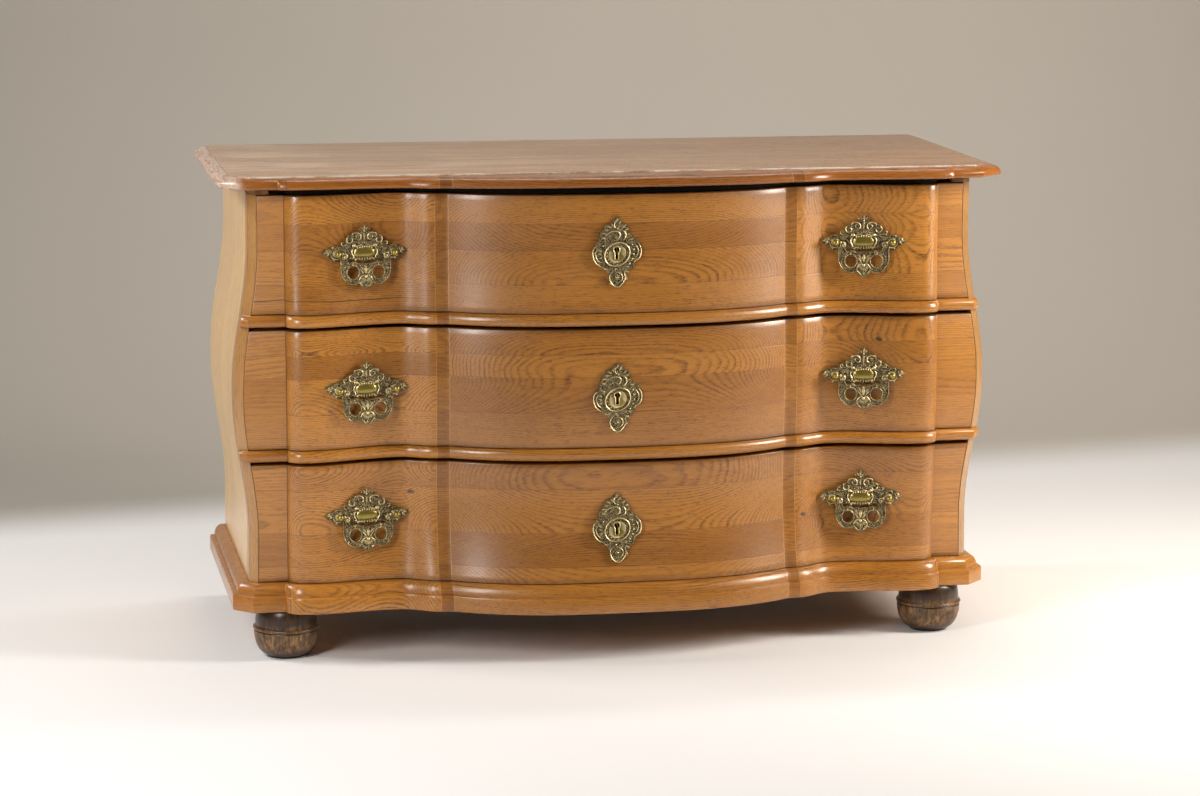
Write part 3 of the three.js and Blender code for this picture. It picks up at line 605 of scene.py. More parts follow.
def plate_ornament(bm, wide):
    """Crown, scrolls, leaves and bosses on both hands of a plate, and the domed shield between them."""
    top = PLATE_THICKNESS
    ridges = (
        ([(21, 24), (21, 31), (14, 34), (7, 31), (6, 25), (10, 22), (13, 25)], 1.5, 1.7, 0),
        ([(24, 9), (31, 13), (38, 13), (40, 17), (37, 19), (35, 16)], 1.2, 1.5, 0),
        ([(39, 9), (46, 11), (53, 12), (56, 9), (53, 7)], 1.1, 1.4, 0),
        ([(57, 2), (61, 7), (66, 6), (67, 2), (63, 1)], 1.1, 1.5, 0),
        ([(43, -7), (40, -11), (33, -12), (26, -9), (20, -12)], 1.1, 1.4, 0),
        ([(1, 12.5), (8, 13), (14, 11), (18, 14), (21, 12), (19, 9)], 1.3, 1.6, 0.4),
        ([(18, 8), (21.5, 5), (22, -1), (19, -6), (21, -10)], 1.3, 1.6, 0.4),
        ([(1, -9.5), (8, -10.5), (14, -9), (17, -11.5), (14, -13)], 1.2, 1.5, 0.4),
    )
    scrolls = (
        (((12.5, 27), 3.6, 1.2, 200, -330), 0.9, 1.2, 0.3),
        (((24, 19) if wide else (25, 22), 8, 2.2, 150, -480), 1.3, 1.6, 0, 0.5),
        (((POST_PLACE, 0), 9.6, 9.6, 15, -215), 1.3, 1.8, 0),
        (((32, -4), 8.2, 2.4, 100, 420), 1.1, 1.0, 0),
        (((36, 5), 4.2, 1.0, 30, 400, 16), 0.9, 1.2, 0),
    )
    leaves = (
        ((62, 1), (72, 3), 1.9, 1.8), ((62, 1), (68, 7.5), 1.5, 1.8), ((62, 1), (67, -4.5), 1.6, 1.8),
        ((62, 1), (60, 9.5), 1.3, 1.8), ((28, 5), (42, 8), 1.7, 1.5, 2), ((28, 9), (44, 4), 1.2, 1.4, -1),
        ((2, 37), (8, 44), 1.5, 1.7, -1), ((4, 20), (5, 33), 1.2, 1.5, 1),
    )
    bosses = [
        ((POST_PLACE, 0), 7.4, 7.4, 2.2, 0, 12), ((62.5, 0), 2.1, 2.1, 2.2, 0, 12),
        ((30, 24), 1.5, 1.5, 1.7, 0, 8), ((20, 33), 1.5, 1.5, 1.7, 0, 8), ((53, -11), 2.0, 2.0, 1.6, 0, 8),
        ((17.5, 12.5), 2.4, 2.4, 2.0, 0.6, 8), ((19, -8), 1.8, 1.8, 1.6, 0.4, 8),
    ]
    dots = ((45, 8), (47, -9.5), (24, -8.5), (29, 18), (31, 9), (10, 16), (9, 40))
    bosses += [(dot, 1.4, 1.4, 1.5, 0, 8) for dot in dots]
    for _, side in SIDES:
        ornament(bm, side, top, ridges, scrolls, leaves, bosses)
    boss(bm, (0, 0.5), 17.5, 8, 3.0, top, 32, square=3.2, polish=POLISH)
    for i in range(7):
        x = 4.1 * (i - 3)
        boss(bm, (x, 10.5 - 0.012 * x * x), 1.5, 1.9, 1.6, top + 1.2, 8)
        leaf(bm, (x, -7), (x * 1.25, -12.5), 1.3, 1.5, top + 0.8)
    leaf(bm, (0, 19), (0, 36), 2.0, 1.9, top)
    leaf(bm, (0, 37), (0, 48), 2.3, 1.9, top)
    boss(bm, (0, 37), 2.0, 2.0, 2.0, top)
    fan(bm, (0, 12), 3, 8.5, 20, 140, 5, 1.2, 1.4, top + 0.3)


def handle_posts(bm, reach):
    """The ball-headed posts of a plate, with the shanks and nuts behind it."""
    profile = [
        (0, PLATE_THICKNESS / 2), (5.6, PLATE_THICKNESS / 2), (5.6, 3.4), (4.9, 4.2), (4.4, 5), (4.4, 9.2),
    ]
    profile += [(5.0, 9.6), (5.0, 10.3), (4.2, POST_HEAD_START)]
    profile += [
        (5.8 * math.cos(t), 14.5 + 5.8 * math.sin(t)) for t in (math.pi * (i / 9 - 0.32) for i in range(7))
    ]
    profile.append((0, 20.3))
    for _, side in SIDES:
        x = side * POST_PLACE
        start = len(bm.verts)
        turned(bm, profile, (x, 0, 0), 20)
        for vert in list(bm.verts)[start:]:
            if vert.co.z > POST_HEAD_START:
                vert[bm.verts.layers.float["polish"]] = POLISH
        rod(bm, (x, 0, 1), (x, 0, -reach - 7), SHANK_RADIUS)
        place = Matrix.Translation((x, 0, -reach - 2)) @ Matrix.Diagonal((NUT, NUT, 4, 1))
        verts = bmesh.ops.create_cube(bm, size=1, matrix=place)["verts"]
        bevel(bm, list({edge for vert in verts for edge in vert.link_edges}), 0.6)


def pierced_bail():
    """The bail: two heavy gadrooned loops, scrolls at the pins, and a leaf and a shell between them."""
    bm = new_casting()
    level = PIVOT_OUT
    top = level + 0.6
    outside = [
        (41, 3), (42.2, -7), (41.6, -18), (42, -30), (37, -42), (27.5, -50), (17, -50.5), (10.5, -46.5),
    ]
    outside += [(9, -52), (4, -56), (0, -59)]
    inside = [(0, -20), (7, -17.5), (13, -19), (20, -14.5), (26, -19), (31.5, -15.5), (35.5, -6), (35.5, 3)]
    right = smooth_line(outside, count=3)
    over = smooth_line(inside, count=3)
    rim = over + right
    holes = [oval((side * 22, -32), 9.8, 10.6, circle(28)) for _, side in SIDES]
    slab(bm, [rim + handed(reversed(rim[1:-1]), -1), *holes], 3.0, level - 2.4, 0.6)
    for hole in holes:
        strand(bm, shifted(hole, 1.0, True), 1.2, 1.5, top - 0.2, closed=True)
        strand(bm, shifted(hole, 6.6, True), 0.8, 1.1, top - 0.2, closed=True)
    ridges = (
        ([(13, -47), (9, -40), (4, -37), (0, -39)], 1.5, 1.7, 0, 0.6),
        ([(11, -25), (7, -30), (3, -36)], 1.5, 1.6, 0, 0.6),
        ([(9.5, -43), (10, -49), (6, -54), (2, -57)], 1.1, 1.4, 0, 0.4),
    )
    scrolls = (
        (((35.5, -4.5), 5.6, 1.2, -60, 520, 26), 1.1, 1.5, 0.4),
        (((20, -19), 4.2, 1.2, 200, -420, 22), 1.1, 1.5, 0),
    )
    leaves = (
        ((1, -31), (9, -20), 1.8, 1.7, 1), ((3, -27), (13, -22), 1.5, 1.6, -1),
        ((28, -16), (33, -24), 1.4, 1.4, 1),
    )
    bosses = (
        ((36, -4), 6.4, 6.8, 1.9, -0.8, 20), ((35.5, -4.5), 1.6, 1.6, 1.7, 0.6, 10),
        ((40, 0), 2.4, 2.8, 2.8, -0.6, 10),
    )
    for _, side in SIDES:
        strand(bm, shifted(handed(right, side), -1.1 * side), 1.2, 1.5, top - 0.2, 0.7)
        strand(bm, shifted(handed(over, side), -1.0 * side), 1.0, 1.4, top - 0.2, 0.6)
        fan(bm, (side * 22, -32), 12.4, 17, -5 - side * 105, 190, 12, 1.5, 1.4, top - 0.3)
        ornament(bm, side, top, ridges, scrolls, leaves, bosses)
        rod(bm, (side * 36, 0, level), (side * (POST_PLACE - 3), 0, level), PIN_RADIUS)
    leaf(bm, (0, -36), (0, -19), 3.0, 2.2, top)
    leaf(bm, (0, -50), (0, -59), 2.3, 1.9, top - 0.4)
    boss(bm, (0, -27), 3.4, 4.0, 2.2, top)
    boss(bm, (0, -43), 8.8, 8.0, 1.5, top - 0.6, 20)
    boss(bm, (0, -39.5), 3.2, 2.8, 2.4, top + 0.2)
    fan(bm, (0, -40), 1, 11.5, -160, 140, 7, 1.7, 1.7, top)
    return bm


def escutcheon_ornament(bm, keyhole):
    """The relief round a keyhole: an oval shield, a scrolled crown, rimmed lobes and a rosette below."""
    top = PLATE_THICKNESS
    lines = (
        ([(-19, 16), (-20, 27), (-13, 34), (-4, 37), (4, 35), (6, 29), (2, 24), (-2, 26), (0, 29)], 1.4),
        ([(6, 38), (13, 36), (16, 29), (13, 23), (8, 22)], 1.4),
        ([(-29, 15), (-38, 9), (-41, -1), (-37, -14), (-28, -22), (-21, -22)], 1.3),
        ([(-26, 9), (-33, 5), (-36, -2), (-32, -12), (-25, -16), (-21, -13)], 1.0),
        ([(32, 20), (39, 13), (42, 3), (39, -8), (31, -14), (27, -23)], 1.3),
        ([(28, 16), (34, 11), (37, 3), (34, -6), (28, -9)], 1.0),
        ([(4, -24), (-6, -30), (-12, -38), (-11, -47), (-5, -55), (3, -57), (10, -51), (15, -42), (14, -32),
          (26, -26)], 1.4),
        ([(-6, -36), (2, -32), (9, -37), (9, -45), (2, -50), (-5, -46)], 1.1),
        ([(10, 58), (2, 55), (-4, 50), (-3, 43), (3, 42)], 1.3),
        ([(-12, -27), (-19, -27), (-23, -24)], 1.3),
    )
    leaves = (
        ((0, 50), (1, 61)), ((3, 47), (8, 55)), ((-8, 42), (-19, 47)), ((-11, 39), (-23, 39)),
        ((-15, 33), (-28, 33)), ((-18, 25), (-27, 26)), ((9, 42), (17, 48)), ((14, 38), (21, 41)),
        ((17, 31), (23, 32)), ((19, 22), (31, 24)), ((-5, 44), (-10, 51)), ((15, -40), (18, -46)),
        ((-8, -50), (-12, -52)), ((12, -29), (22, -33)), ((-24, -3), (-33, 0)), ((-24, -7), (-31, -9)),
        ((-25, 2), (-32, 6)),
    )
    dots = ((27, 14), (29, 6), (29, -2), (27, -10), (-12, -20), (-23, 12), (2, 41), (-2, -27), (22, -18))
    ornament(
        bm, 1, top, ridges=[(points, width, 1.7, 0) for points, width in lines],
        leaves=[(root, tip, 1.9, 1.8) for root, tip in leaves],
        bosses=[(dot, 1.8, 1.8, 1.9, 0, 8) for dot in dots],
    )
    turns = circle(48)
    shield = [Vector((1 + 21.5 * math.cos(t), -2 + 19.5 * math.sin(t) + 3 * math.cos(t), 0)) for t in turns]
    strand(bm, shield, 1.3, 1.9, top + 0.4, closed=True)
    inner = [Vector((1 + 15 * math.cos(t), -2 + 14.5 * math.sin(t) + 2 * math.cos(t), 0)) for t in turns]
    slab(bm, [inner, keyhole], 1.6, top - 0.2, 0.7)
    for vert in bm.verts:
        if top + 0.2 < vert.co.z < top + 1.5 and math.hypot(vert.co.x - 1, vert.co.y + 2) < 13.5:
            vert[bm.verts.layers.float["polish"]] = POLISH
    strand(bm, shifted(keyhole, 1.0, True), 0.9, 1.3, top + 1.2, closed=True)
    fan(bm, (1, -41), 2, 6, 0, 315, 8, 1.3, 1.3, top + 0.2)
    boss(bm, (1, -41), 2.1, 2.1, 2.2, top + 0.3)
    for spot in oval((1, -2), 18, 17, [math.radians(110 + 20 * i) for i in range(9)]):
        boss(bm, spot, 1.3, 1.3, 1.3, top + 0.3, 8)


def keyhole_line(radius, slot, length):
    """A keyhole with its middle at the origin."""
    start = math.asin(slot / 2 / radius)
    turns = levels(start - math.pi / 2, 1.5 * math.pi - start, 16)
    foot = [Vector((-slot / 2, -length / 2, 0)), Vector((slot / 2, -length / 2, 0))]
    return oval((0, length / 2 - radius), radius, radius, turns) + foot


# Shader nodes


class Value:
    """A value that a shader node puts out. Sums are written with it as with numbers, and make the nodes."""

    def __init__(self, socket):
        self.socket = socket

    def __add__(self, other):
        return sums("ADD", self, other)

    def __sub__(self, other):
        return sums("SUBTRACT", self, other)

    def __rsub__(self, other):
        return sums("SUBTRACT", other, self)

    def __mul__(self, other):
        return sums("MULTIPLY", self, other)

    def __truediv__(self, other):
        return sums("DIVIDE", self, other)

    def __gt__(self, other):
        return sums("GREATER_THAN", self, other)

    def __lt__(self, other):
        return sums("LESS_THAN", self, other)

    def __abs__(self):
        return sums("ABSOLUTE", self)


def fill(node, sockets):
    """Sets the sockets of a node, and links those whose value comes from another node."""
    for key, value in sockets.items():
        if isinstance(value, Value):
            node.id_data.links.new(value.socket, node.inputs[key])
        else:
            node.inputs[key].default_value = value


def put(kind, sockets, tree=None, **settings):
    """Adds a shader node to the tree that its values come from."""
    if tree is None:
        tree = next(value for value in sockets.values() if isinstance(value, Value)).socket.id_data
    made = tree.nodes.new("ShaderNode" + kind)
    for key, value in settings.items():
        setattr(made, key, value)
    fill(made, sockets)
    return [Value(output) for output in made.outputs]


def sums(operation, a, b=0.0):
    return put("Math", {0: a, 1: b}, operation=operation)[0]


def ramp(value, low, high, start=0.0, end=1.0, kind="SMOOTHSTEP"):
    """Maps a value between two limits, with a soft start and end."""
    return put("MapRange", {0: value, 1: low, 2: high, 3: start, 4: end}, interpolation_type=kind)[0]


def slope(value, start, end, low=0.0, high=1.0):
    """Maps a value between two limits in a straight line."""
    return ramp(value, low, high, start, end, "LINEAR")


def blend(share, a, b):
    """Mixes two colours."""
    a, b = (value if isinstance(value, Value) else (*value, 1.0) for value in (a, b))
    return put("Mix", {0: share, 6: a, 7: b}, data_type="RGBA")[2]


def stretched(vector, scale):
    return put("VectorMath", {0: vector, 1: scale}, operation="MULTIPLY")[0]


def noise(vector, scale, detail=3.0, rough=0.55):
    sockets = {"Vector": stretched(vector, scale), "Scale": 1.0, "Detail": detail, "Roughness": rough}
    return put("TexNoise", sockets)[0]


def parts(vector):
    """The three parts of a position or a colour."""
    return put("SeparateXYZ", {0: vector})


def away_from(a, b):
    """How far a place is away, from its distances along two axes."""
    return sums("SQRT", a * a + b * b)


def chance(seed):
    """A random value and a random colour for every whole seed."""
    return put("TexWhiteNoise", {"W": seed}, noise_dimensions="1D")


def bump(height, strength, distance):
    return put("Bump", {"Strength": strength, "Distance": distance, "Height": height})[0]


def start_group(name, numbers):
    """Starts a shader node group with a position and some numbers, and gives what comes in."""
    tree = bpy.data.node_groups.new(name, "ShaderNodeTree")
    tree.interface.new_socket("Position", in_out="INPUT", socket_type="NodeSocketVector")
    for label, value in numbers.items():
        tree.interface.new_socket(label, in_out="INPUT", socket_type="NodeSocketFloat").default_value = value
    return {output.name: Value(output) for output in tree.nodes.new("NodeGroupInput").outputs}


def end_group(values):
    """Ends a group with the values that it puts out."""
    tree = next(iter(values.values())).socket.id_data
    for label in values:
        tree.interface.new_socket(label, in_out="OUTPUT", socket_type="NodeSocketFloat")
    fill(tree.nodes.new("NodeGroupOutput"), values)


def use_group(name, sockets):
    values = put("Group", sockets, node_tree=bpy.data.node_groups[name])
    return {value.socket.name: value for value in values}


def board_group():
    """Splits a front into glued boards by height and into fields across, each with its own seed."""
    joints = ("Joint 1", "Joint 2", "Joint 3")
    entry = start_group("Glued Boards", {**dict.fromkeys(joints, 0.0), "Seed": 0.0})
    x, _, z = parts(entry["Position"])
    height = (noise(entry["Position"], (3, 3, 3), 1.0) - 0.5) * 0.002 + z
    count, floor, joint_line = 0.0, 0.0, 0.0
    for label in joints:
        above = height > entry[label]
        count = above + count
        floor = sums("MAXIMUM", above * entry[label], floor)
        joint_line = sums("MAXIMUM", ramp(abs(height - entry[label]), 0.0, JOINT_LINE, 1.0, 0.0), joint_line)
    field = 0.0
    lines = []
    for limit in (STRIP_INNER, STRIP_OUTER, SEAM):
        field = (abs(x) > limit) + field
        lines.append(ramp(abs(abs(x) - limit), 0.0, SEAM_LINE, 1.0, 0.0))
    past_bow = field > 0.5
    end_group({
        "Board Seed": (
            count * BOARD_SEED + entry["Seed"] + field * FIELD_SEED + (x > 0.0) * past_bow * SIDE_SEED
        ),
        "Board Height": height - floor,
        "Joint Line": joint_line,
        # The arris lines are painted highlights along the edges of the strips
        "Arris Highlight Line": sums("MAXIMUM", lines[0], lines[1]),
        "Seam Line": lines[2],
        "Bow": 1.0 - past_bow,
        "Strip": past_bow * (field < 1.5),
        "Flat": field > 2.5,
    })


def figure_group():
    """Growth rings, pores and tone of oak whose grain runs along X of the given position."""
    numbers = {"Board Seed": 0.0, "Board Height": 0.0, "Ring Width": 0.003, "Waviness": 0.02}
    entry = start_group("Oak Figure", numbers)
    x, y, _ = parts(entry["Position"])
    height = entry["Board Height"]
    chances = parts(chance(entry["Board Seed"])[1])
    along = chances[0] * 5.0 + x
    pith_y = slope(chances[1], -0.36, -0.02)
    pith_z = slope(chances[2], -0.05, 0.10)
    spot = put("CombineXYZ", {0: along, 1: y, 2: height})[0]
    slow = noise(spot, (2.2, 7.0, 7.0), 2.0)
    quick = noise(spot, (14.0, 60.0, 60.0), 2.0)
    radius = away_from(y - pith_y, height - pith_z)
    radius = (slow - 0.5) * entry["Waviness"] + radius
    radius = along * 0.012 + (quick * 0.0022 + radius)
    count = radius / entry["Ring Width"]
    ring = sums("FRACT", count)
    late = ramp(ring, 0.35, 0.8) * ramp(ring, 0.85, 1.0, 1.0, 0.0)
    late *= slope(chance(sums("FLOOR", count))[0], 0.5, 1.0)
    late *= ramp(noise(spot, (3.0, 18.0, 18.0), 2.0), 0.32, 0.6, 0.45, 1.0)
    late *= ramp(noise(spot, (90.0, 420.0, 420.0), 3.0, 0.7), 0.38, 0.58, 0.3, 1.0)
    pores = ramp(noise(spot, (45.0, 480.0, 480.0), 2.0, 0.7), 0.54, 0.68)
    streaks = noise(spot, (5.0, 150.0, 150.0), 2.0)
    tone = streaks * 0.45 + noise(spot, (1.6, 14.0, 14.0), 4.0) * 0.5
    end_group({
        "Rings": late,
        "Pores": pores,
        "Tone": (chances[0] - 0.2) * 0.45 + tone,
        "Relief": 1.0 - (late * 0.35 + pores * 0.65),
    })


def wear_group():
    """Darkening towards two heights and small dark specks, broken up by noise."""
    entry = start_group("Edge Darkening And Specks", {"Low": 0.0, "High": 1.0, "Reach": 0.012})
    position = entry["Position"]
    z = parts(position)[2]
    away = sums("MINIMUM", (z - entry["Low"]) / entry["Reach"], (entry["High"] - z) / entry["Reach"])
    cloud = noise(position, (22, 22, 22), 4.0, 0.6)
    distance, tint, *_ = put("TexVoronoi", {"Vector": stretched(position, (38, 38, 60)), "Scale": 1.0})
    end_group({
        "Edge Darkening": ramp(away, 0.0, 1.0, 1.0, 0.0) * ramp(cloud, 0.3, 0.7, 0.35, 1.0),
        "Specks": ramp(distance, 0.03, 0.08, 1.0, 0.0) * (parts(tint)[0] > 0.82),
        "Rub": ramp(noise(position, (5, 5, 9), 3.0, 0.6), 0.42, 0.68),
    })


# Materials. Each function gives what its shader takes, from the place in the object.


def shared(name, build, *args, **options):
    """A material by its name, built the first time it is asked for."""
    if name not in bpy.data.materials:
        material = bpy.data.materials.new(name)
        material.use_nodes = True
        tree = material.node_tree
        position = Value(tree.nodes.new("ShaderNodeTexCoord").outputs["Object"])
        fill(tree.nodes["Principled BSDF"], build(position, *args, **options))
    return bpy.data.materials[name]


def oak(position, tones, turn=None, joints=(0.0, 0.0, 0.0), seed=0.0, limits=(0.0, 1.0),
        ring=0.003, waviness=0.02, roughness=0.40, coat=0.8, seams=True, ring_share=0.9, pore_share=0.5,
        under=(), over=()):
    """Waxed oak: light, middle and dark tones, boards, growth rings, pores, joints, darkening towards the
    edges, and specks.

    turn is a rotation that brings the grain on to X. under and over are marks below and above the dirt,
    each with a function for its share, the place that the function takes, and a tint.
    """
    finish = bpy.context.scene.chest_finish
    light, middle, dark = tones
    grain = put("Mapping", {"Vector": position, "Rotation": turn})[0] if turn else position
    boards = {"Board Seed": seed, "Board Height": parts(grain)[2]}
    if seams:
        sockets = {f"Joint {number}": level for number, level in enumerate(joints, 1)}
        boards = use_group("Glued Boards", {"Position": position, "Seed": seed, **sockets})
    figure = use_group("Oak Figure", {
        "Position": grain, "Board Seed": boards["Board Seed"], "Board Height": boards["Board Height"],
        "Ring Width": ring, "Waviness": waviness,
    })
    wear = use_group("Edge Darkening And Specks", {"Position": position, "Low": limits[0], "High": limits[1]})
    height = figure["Relief"]
    layers = [(figure["Rings"] * ring_share, dark), (figure["Pores"] * pore_share, dark)]
    if seams:
        height = height - boards["Seam Line"] * 1.5 - boards["Joint Line"]
        layers += [
            (boards["Strip"] * 0.5, cross_grain(position, middle, dark)),
            (boards["Bow"] * 0.22, dark),
            (boards["Flat"] * 0.30, cross_grain(position, light, middle)),
            (boards["Joint Line"] * 0.35, dark),
            # Painted highlight: pale lines along the edges of the strips
            (boards["Arris Highlight Line"] * 0.35, (0.66, 0.38, 0.16)),
            (boards["Seam Line"] * 0.7, (0.05, 0.02, 0.007)),
        ]
    layers += [(mask(position, place), tint) for mask, place, tint in under]
    layers += [
        (wear["Specks"] * finish.speck_share, (0.03, 0.015, 0.006)),
        # Darker towards the top and bottom edges of the piece
        (wear["Edge Darkening"] * finish.edge_darkening_share, (0.05, 0.022, 0.008)),
    ]
    layers += [(mask(position, place), tint) for mask, place, tint in over]
    base = blend(ramp(figure["Tone"], 0.25, 0.85), middle, light)
    for share, tint in layers:
        base = blend(share, base, tint)
    return {
        "Base Color": base,
        "Roughness": figure["Pores"] * 0.10 + slope(wear["Rub"], roughness - 0.05, roughness + 0.08),
        "Coat Weight": coat,
        "Coat Roughness": 0.26,
        "Normal": bump(height, 0.5, 0.00022),
    }


def cross_grain(position, middle, dark):
    """The colour of narrow darker stuff with short strokes across."""
    strokes = noise(position, (35.0, 35.0, 420.0), 3.0, 0.7)
    return blend(ramp(strokes, 0.35, 0.65, 0.15, 0.85), middle, dark)


def dust_and_sheen_mask(position, share):
    """Pale streaks of dust along the grain of a top, with a painted sheen that makes them strongest at its
    left end.
    """
    rub = use_group("Edge Darkening And Specks", {"Position": position})["Rub"]
    streaks = ramp(noise(position, (4.0, 70.0, 70.0), 4.0, 0.6), 0.36, 0.72, 0.3, 1.0)
    # Painted sheen: the streaks fade from the left end towards the right
    fade = slope(parts(position)[0], 1.0, 0.12, -0.60, 0.50)
    return (streaks * 0.7 + rub * 0.3) * fade * share


def keyhole_shade_mask(position, place):
    """Painted shade: the wood inside a keyhole is made black, and so is the wood beside it, which the
    escutcheon hides.
    """
    x, _, z = parts(position)
    across = ramp(abs(x - place[0]), 0.007, 0.009, 1.0, 0.0)
    return across * ramp(abs(z - place[1]), 0.012, 0.014, 1.0, 0.0)


def knot_mask(position, place):
    """A small dark knot with a ragged edge, at a place across and up."""
    x, _, z = parts(position)
    ragged = noise(position, (260, 260, 260), 3.0, 0.7)
    away = (ragged - 0.5) * 0.012 + away_from(x - place[0], (z - place[1]) * 1.6)
    return ramp(away, 0.003, 0.008, 0.85, 0.0)


def crack_mask(position, level):
    """A thin split in the left part of a drawer front, that fades out to the right."""
    x, _, z = parts(position)
    height = (noise(position, (9, 9, 9)) - 0.5) * 0.008 + z
    return ramp(abs(height - level), 0.0, 0.0013, 1.0, 0.0) * ramp(x, -0.40, -0.28, 1.0, 0.0)


def arris_highlight_and_dust(position, edge):
    """A front edge: a pale line along the arris, which is rubbed wood with a painted highlight, and dust and
    scratches that fade out behind it.
    """
    away = parts(position)[1] - edge
    rubs = noise(position, (25, 160, 160), 3.0, 0.7)
    dust = noise(position, (260, 420, 420), 2.0, 0.6)
    # Painted highlight along the front arris, over rubbed wood
    arris = ramp(away, 0.001, 0.0055, 1.0, 0.0) * ramp(rubs, 0.35, 0.6)
    return sums("MAXIMUM", arris, ramp(dust, 0.57, 0.69) * slope(away, 0.8, 0.15, 0.0, 0.30))


def worn_end_and_highlight(position, end):
    """The left end, pale in streaks along it: finish rubbed off, and a painted highlight."""
    streaks = noise(position, (220, 30, 220), 3.0, 0.65)
    away = parts(position)[0] - end
    return ramp(away, 0.026, 0.044, 0.6, 0.0) * ramp(streaks, 0.3, 0.6, 0.3, 1.0)


def foot_oak(position):
    """Blackened oak, rubbed paler on the belly, with light streaks down it."""
    height = parts(position)[2]
    streaks = noise(position, (230.0, 230.0, 22.0), 3.0, 0.65)
    cloud = noise(position, (38.0, 38.0, 60.0), 4.0, 0.65)
    belly = ramp(height, 0.004, 0.022) * ramp(height, 0.050, 0.066, 1.0, 0.0)
    worn = (
        ramp(streaks, 0.42, 0.62, 0.3, 1.0) * ramp(cloud, 0.3, 0.6, 0.25, 1.0) * sums("MAXIMUM", belly, 0.16)
    )
    groove = ramp(abs(height - 0.0465), 0.0004, 0.0018, 0.8, 0.0)
    base = blend(worn, (0.022, 0.010, 0.005), (0.31, 0.165, 0.065))
    return {
        "Base Color": blend(groove, base, (0.012, 0.006, 0.003)),
        "Roughness": slope(worn, 0.3, 0.5),
        "Normal": bump(streaks, 0.5, 0.0003),
    }


def rail_oak_and_painted_shade(position):
    """The rail under the top: painted shade, black behind the gap, and brown oak on its end blocks."""
    grain = noise(position, (20.0, 60.0, 300.0), 3.0, 0.65)
    brown = blend(ramp(grain, 0.4, 0.65), (0.10, 0.052, 0.022), (0.26, 0.14, 0.055))
    ends = ramp(abs(parts(position)[0]), 0.586, 0.590)
    return {"Base Color": blend(ends, PAINTED_SHADE_BLACK, brown), "Roughness": 0.7, "Specular IOR Level": 0.15}


def brass(position, clean, tarnish, patina):
    """Cast and chased brass: black in its hollows, dull on its ground and rubbed bright on its ridges.

    The relief kept on its points tells ground from ridge, and fine curls are chased into the ground.
    """
    relief = put("Attribute", {}, position.socket.id_data, attribute_name="relief")[2]
    curls = ramp(abs(sums("FRACT", noise(position, (110, 110, 110), 1.0) * 10.0) - 0.5), 0.08, 0.40)
    chased = curls * ramp(relief, 0.3, 0.7, 0.55, 0.1)
    cloud = noise(position, (160, 160, 160), 4.0, 0.65)
    worn = (cloud - 0.5) * 0.45 + (relief + chased)
    bright = ramp(worn, 0.68, 1.0)
    polished = ramp(relief, 1.1, 1.5)
    base = blend(bright, blend(ramp(worn, 0.20, 0.80), patina, tarnish), clean)
    return {
        "Base Color": blend(polished, base, (0.36, 0.28, 0.065)),
        "Roughness": slope(bright, 0.50, 0.33) - polished * 0.05,
        "Metallic": slope(bright, 0.3, 0.75),
        "Normal": bump((1.0 - polished) * chased + cloud * 0.15, 0.6, 0.0012),
    }


def iron(position):
    rust = noise(position, (60, 60, 60), 5.0, 0.65)
    return {
        "Base Color": blend(ramp(rust, 0.45, 0.65), (0.10, 0.095, 0.09), (0.19, 0.085, 0.04)),
        "Roughness": ramp(rust, 0.3, 0.7, 0.42, 0.75),
        "Metallic": 0.8,
        "Normal": bump(rust, 0.5, 0.0003),
    }


def paper(position):
    """Studio paper, white in front, that turns up into the backdrop behind the chest. Its grey behind, darker
    to the left, is painted shade.
    """
    x, y, _ = parts(position)
    # Painted shade: the wall grey darkens to the left, and the floor turns into it along a slanted line
    shade = slope(x, 0.44, 1.08, -2.6, 2.2)
    wall = put("VectorMath", {0: (0.56, 0.51, 0.445), "Scale": shade}, operation="SCALE")[0]
    base = blend(ramp(y, -3.6, -1.7, 1.0, 0.0), (0.82, 0.80, 0.79), (0.16, 0.155, 0.15))
    geometry = position.socket.id_data.nodes.new("ShaderNodeNewGeometry")
    return {
        "Base Color": blend(ramp(x * -0.16 + y, 0.95, 1.35), base, wall),
        "Alpha": 1.0 - Value(geometry.outputs["Backfacing"]),
        "Roughness": 0.9,
        "Specular IOR Level": 0.1,
    }


def front_tones():
    finish = bpy.context.scene.chest_finish
    return tuple(finish.oak_light), tuple(finish.oak_middle), tuple(finish.oak_dark)


def moulding_oak():
    """The oak of the beads and the base, a little redder than the fronts."""
    light, middle, dark = front_tones()
    red = tuple(channel * share for channel, share in zip(middle, (0.95, 0.85, 0.8)))
    return shared(
        "Moulding Oak", oak, (light, red, dark), seed=67.0, limits=CLEAN_EDGES, roughness=0.32, coat=0.6,
    )


# Settings


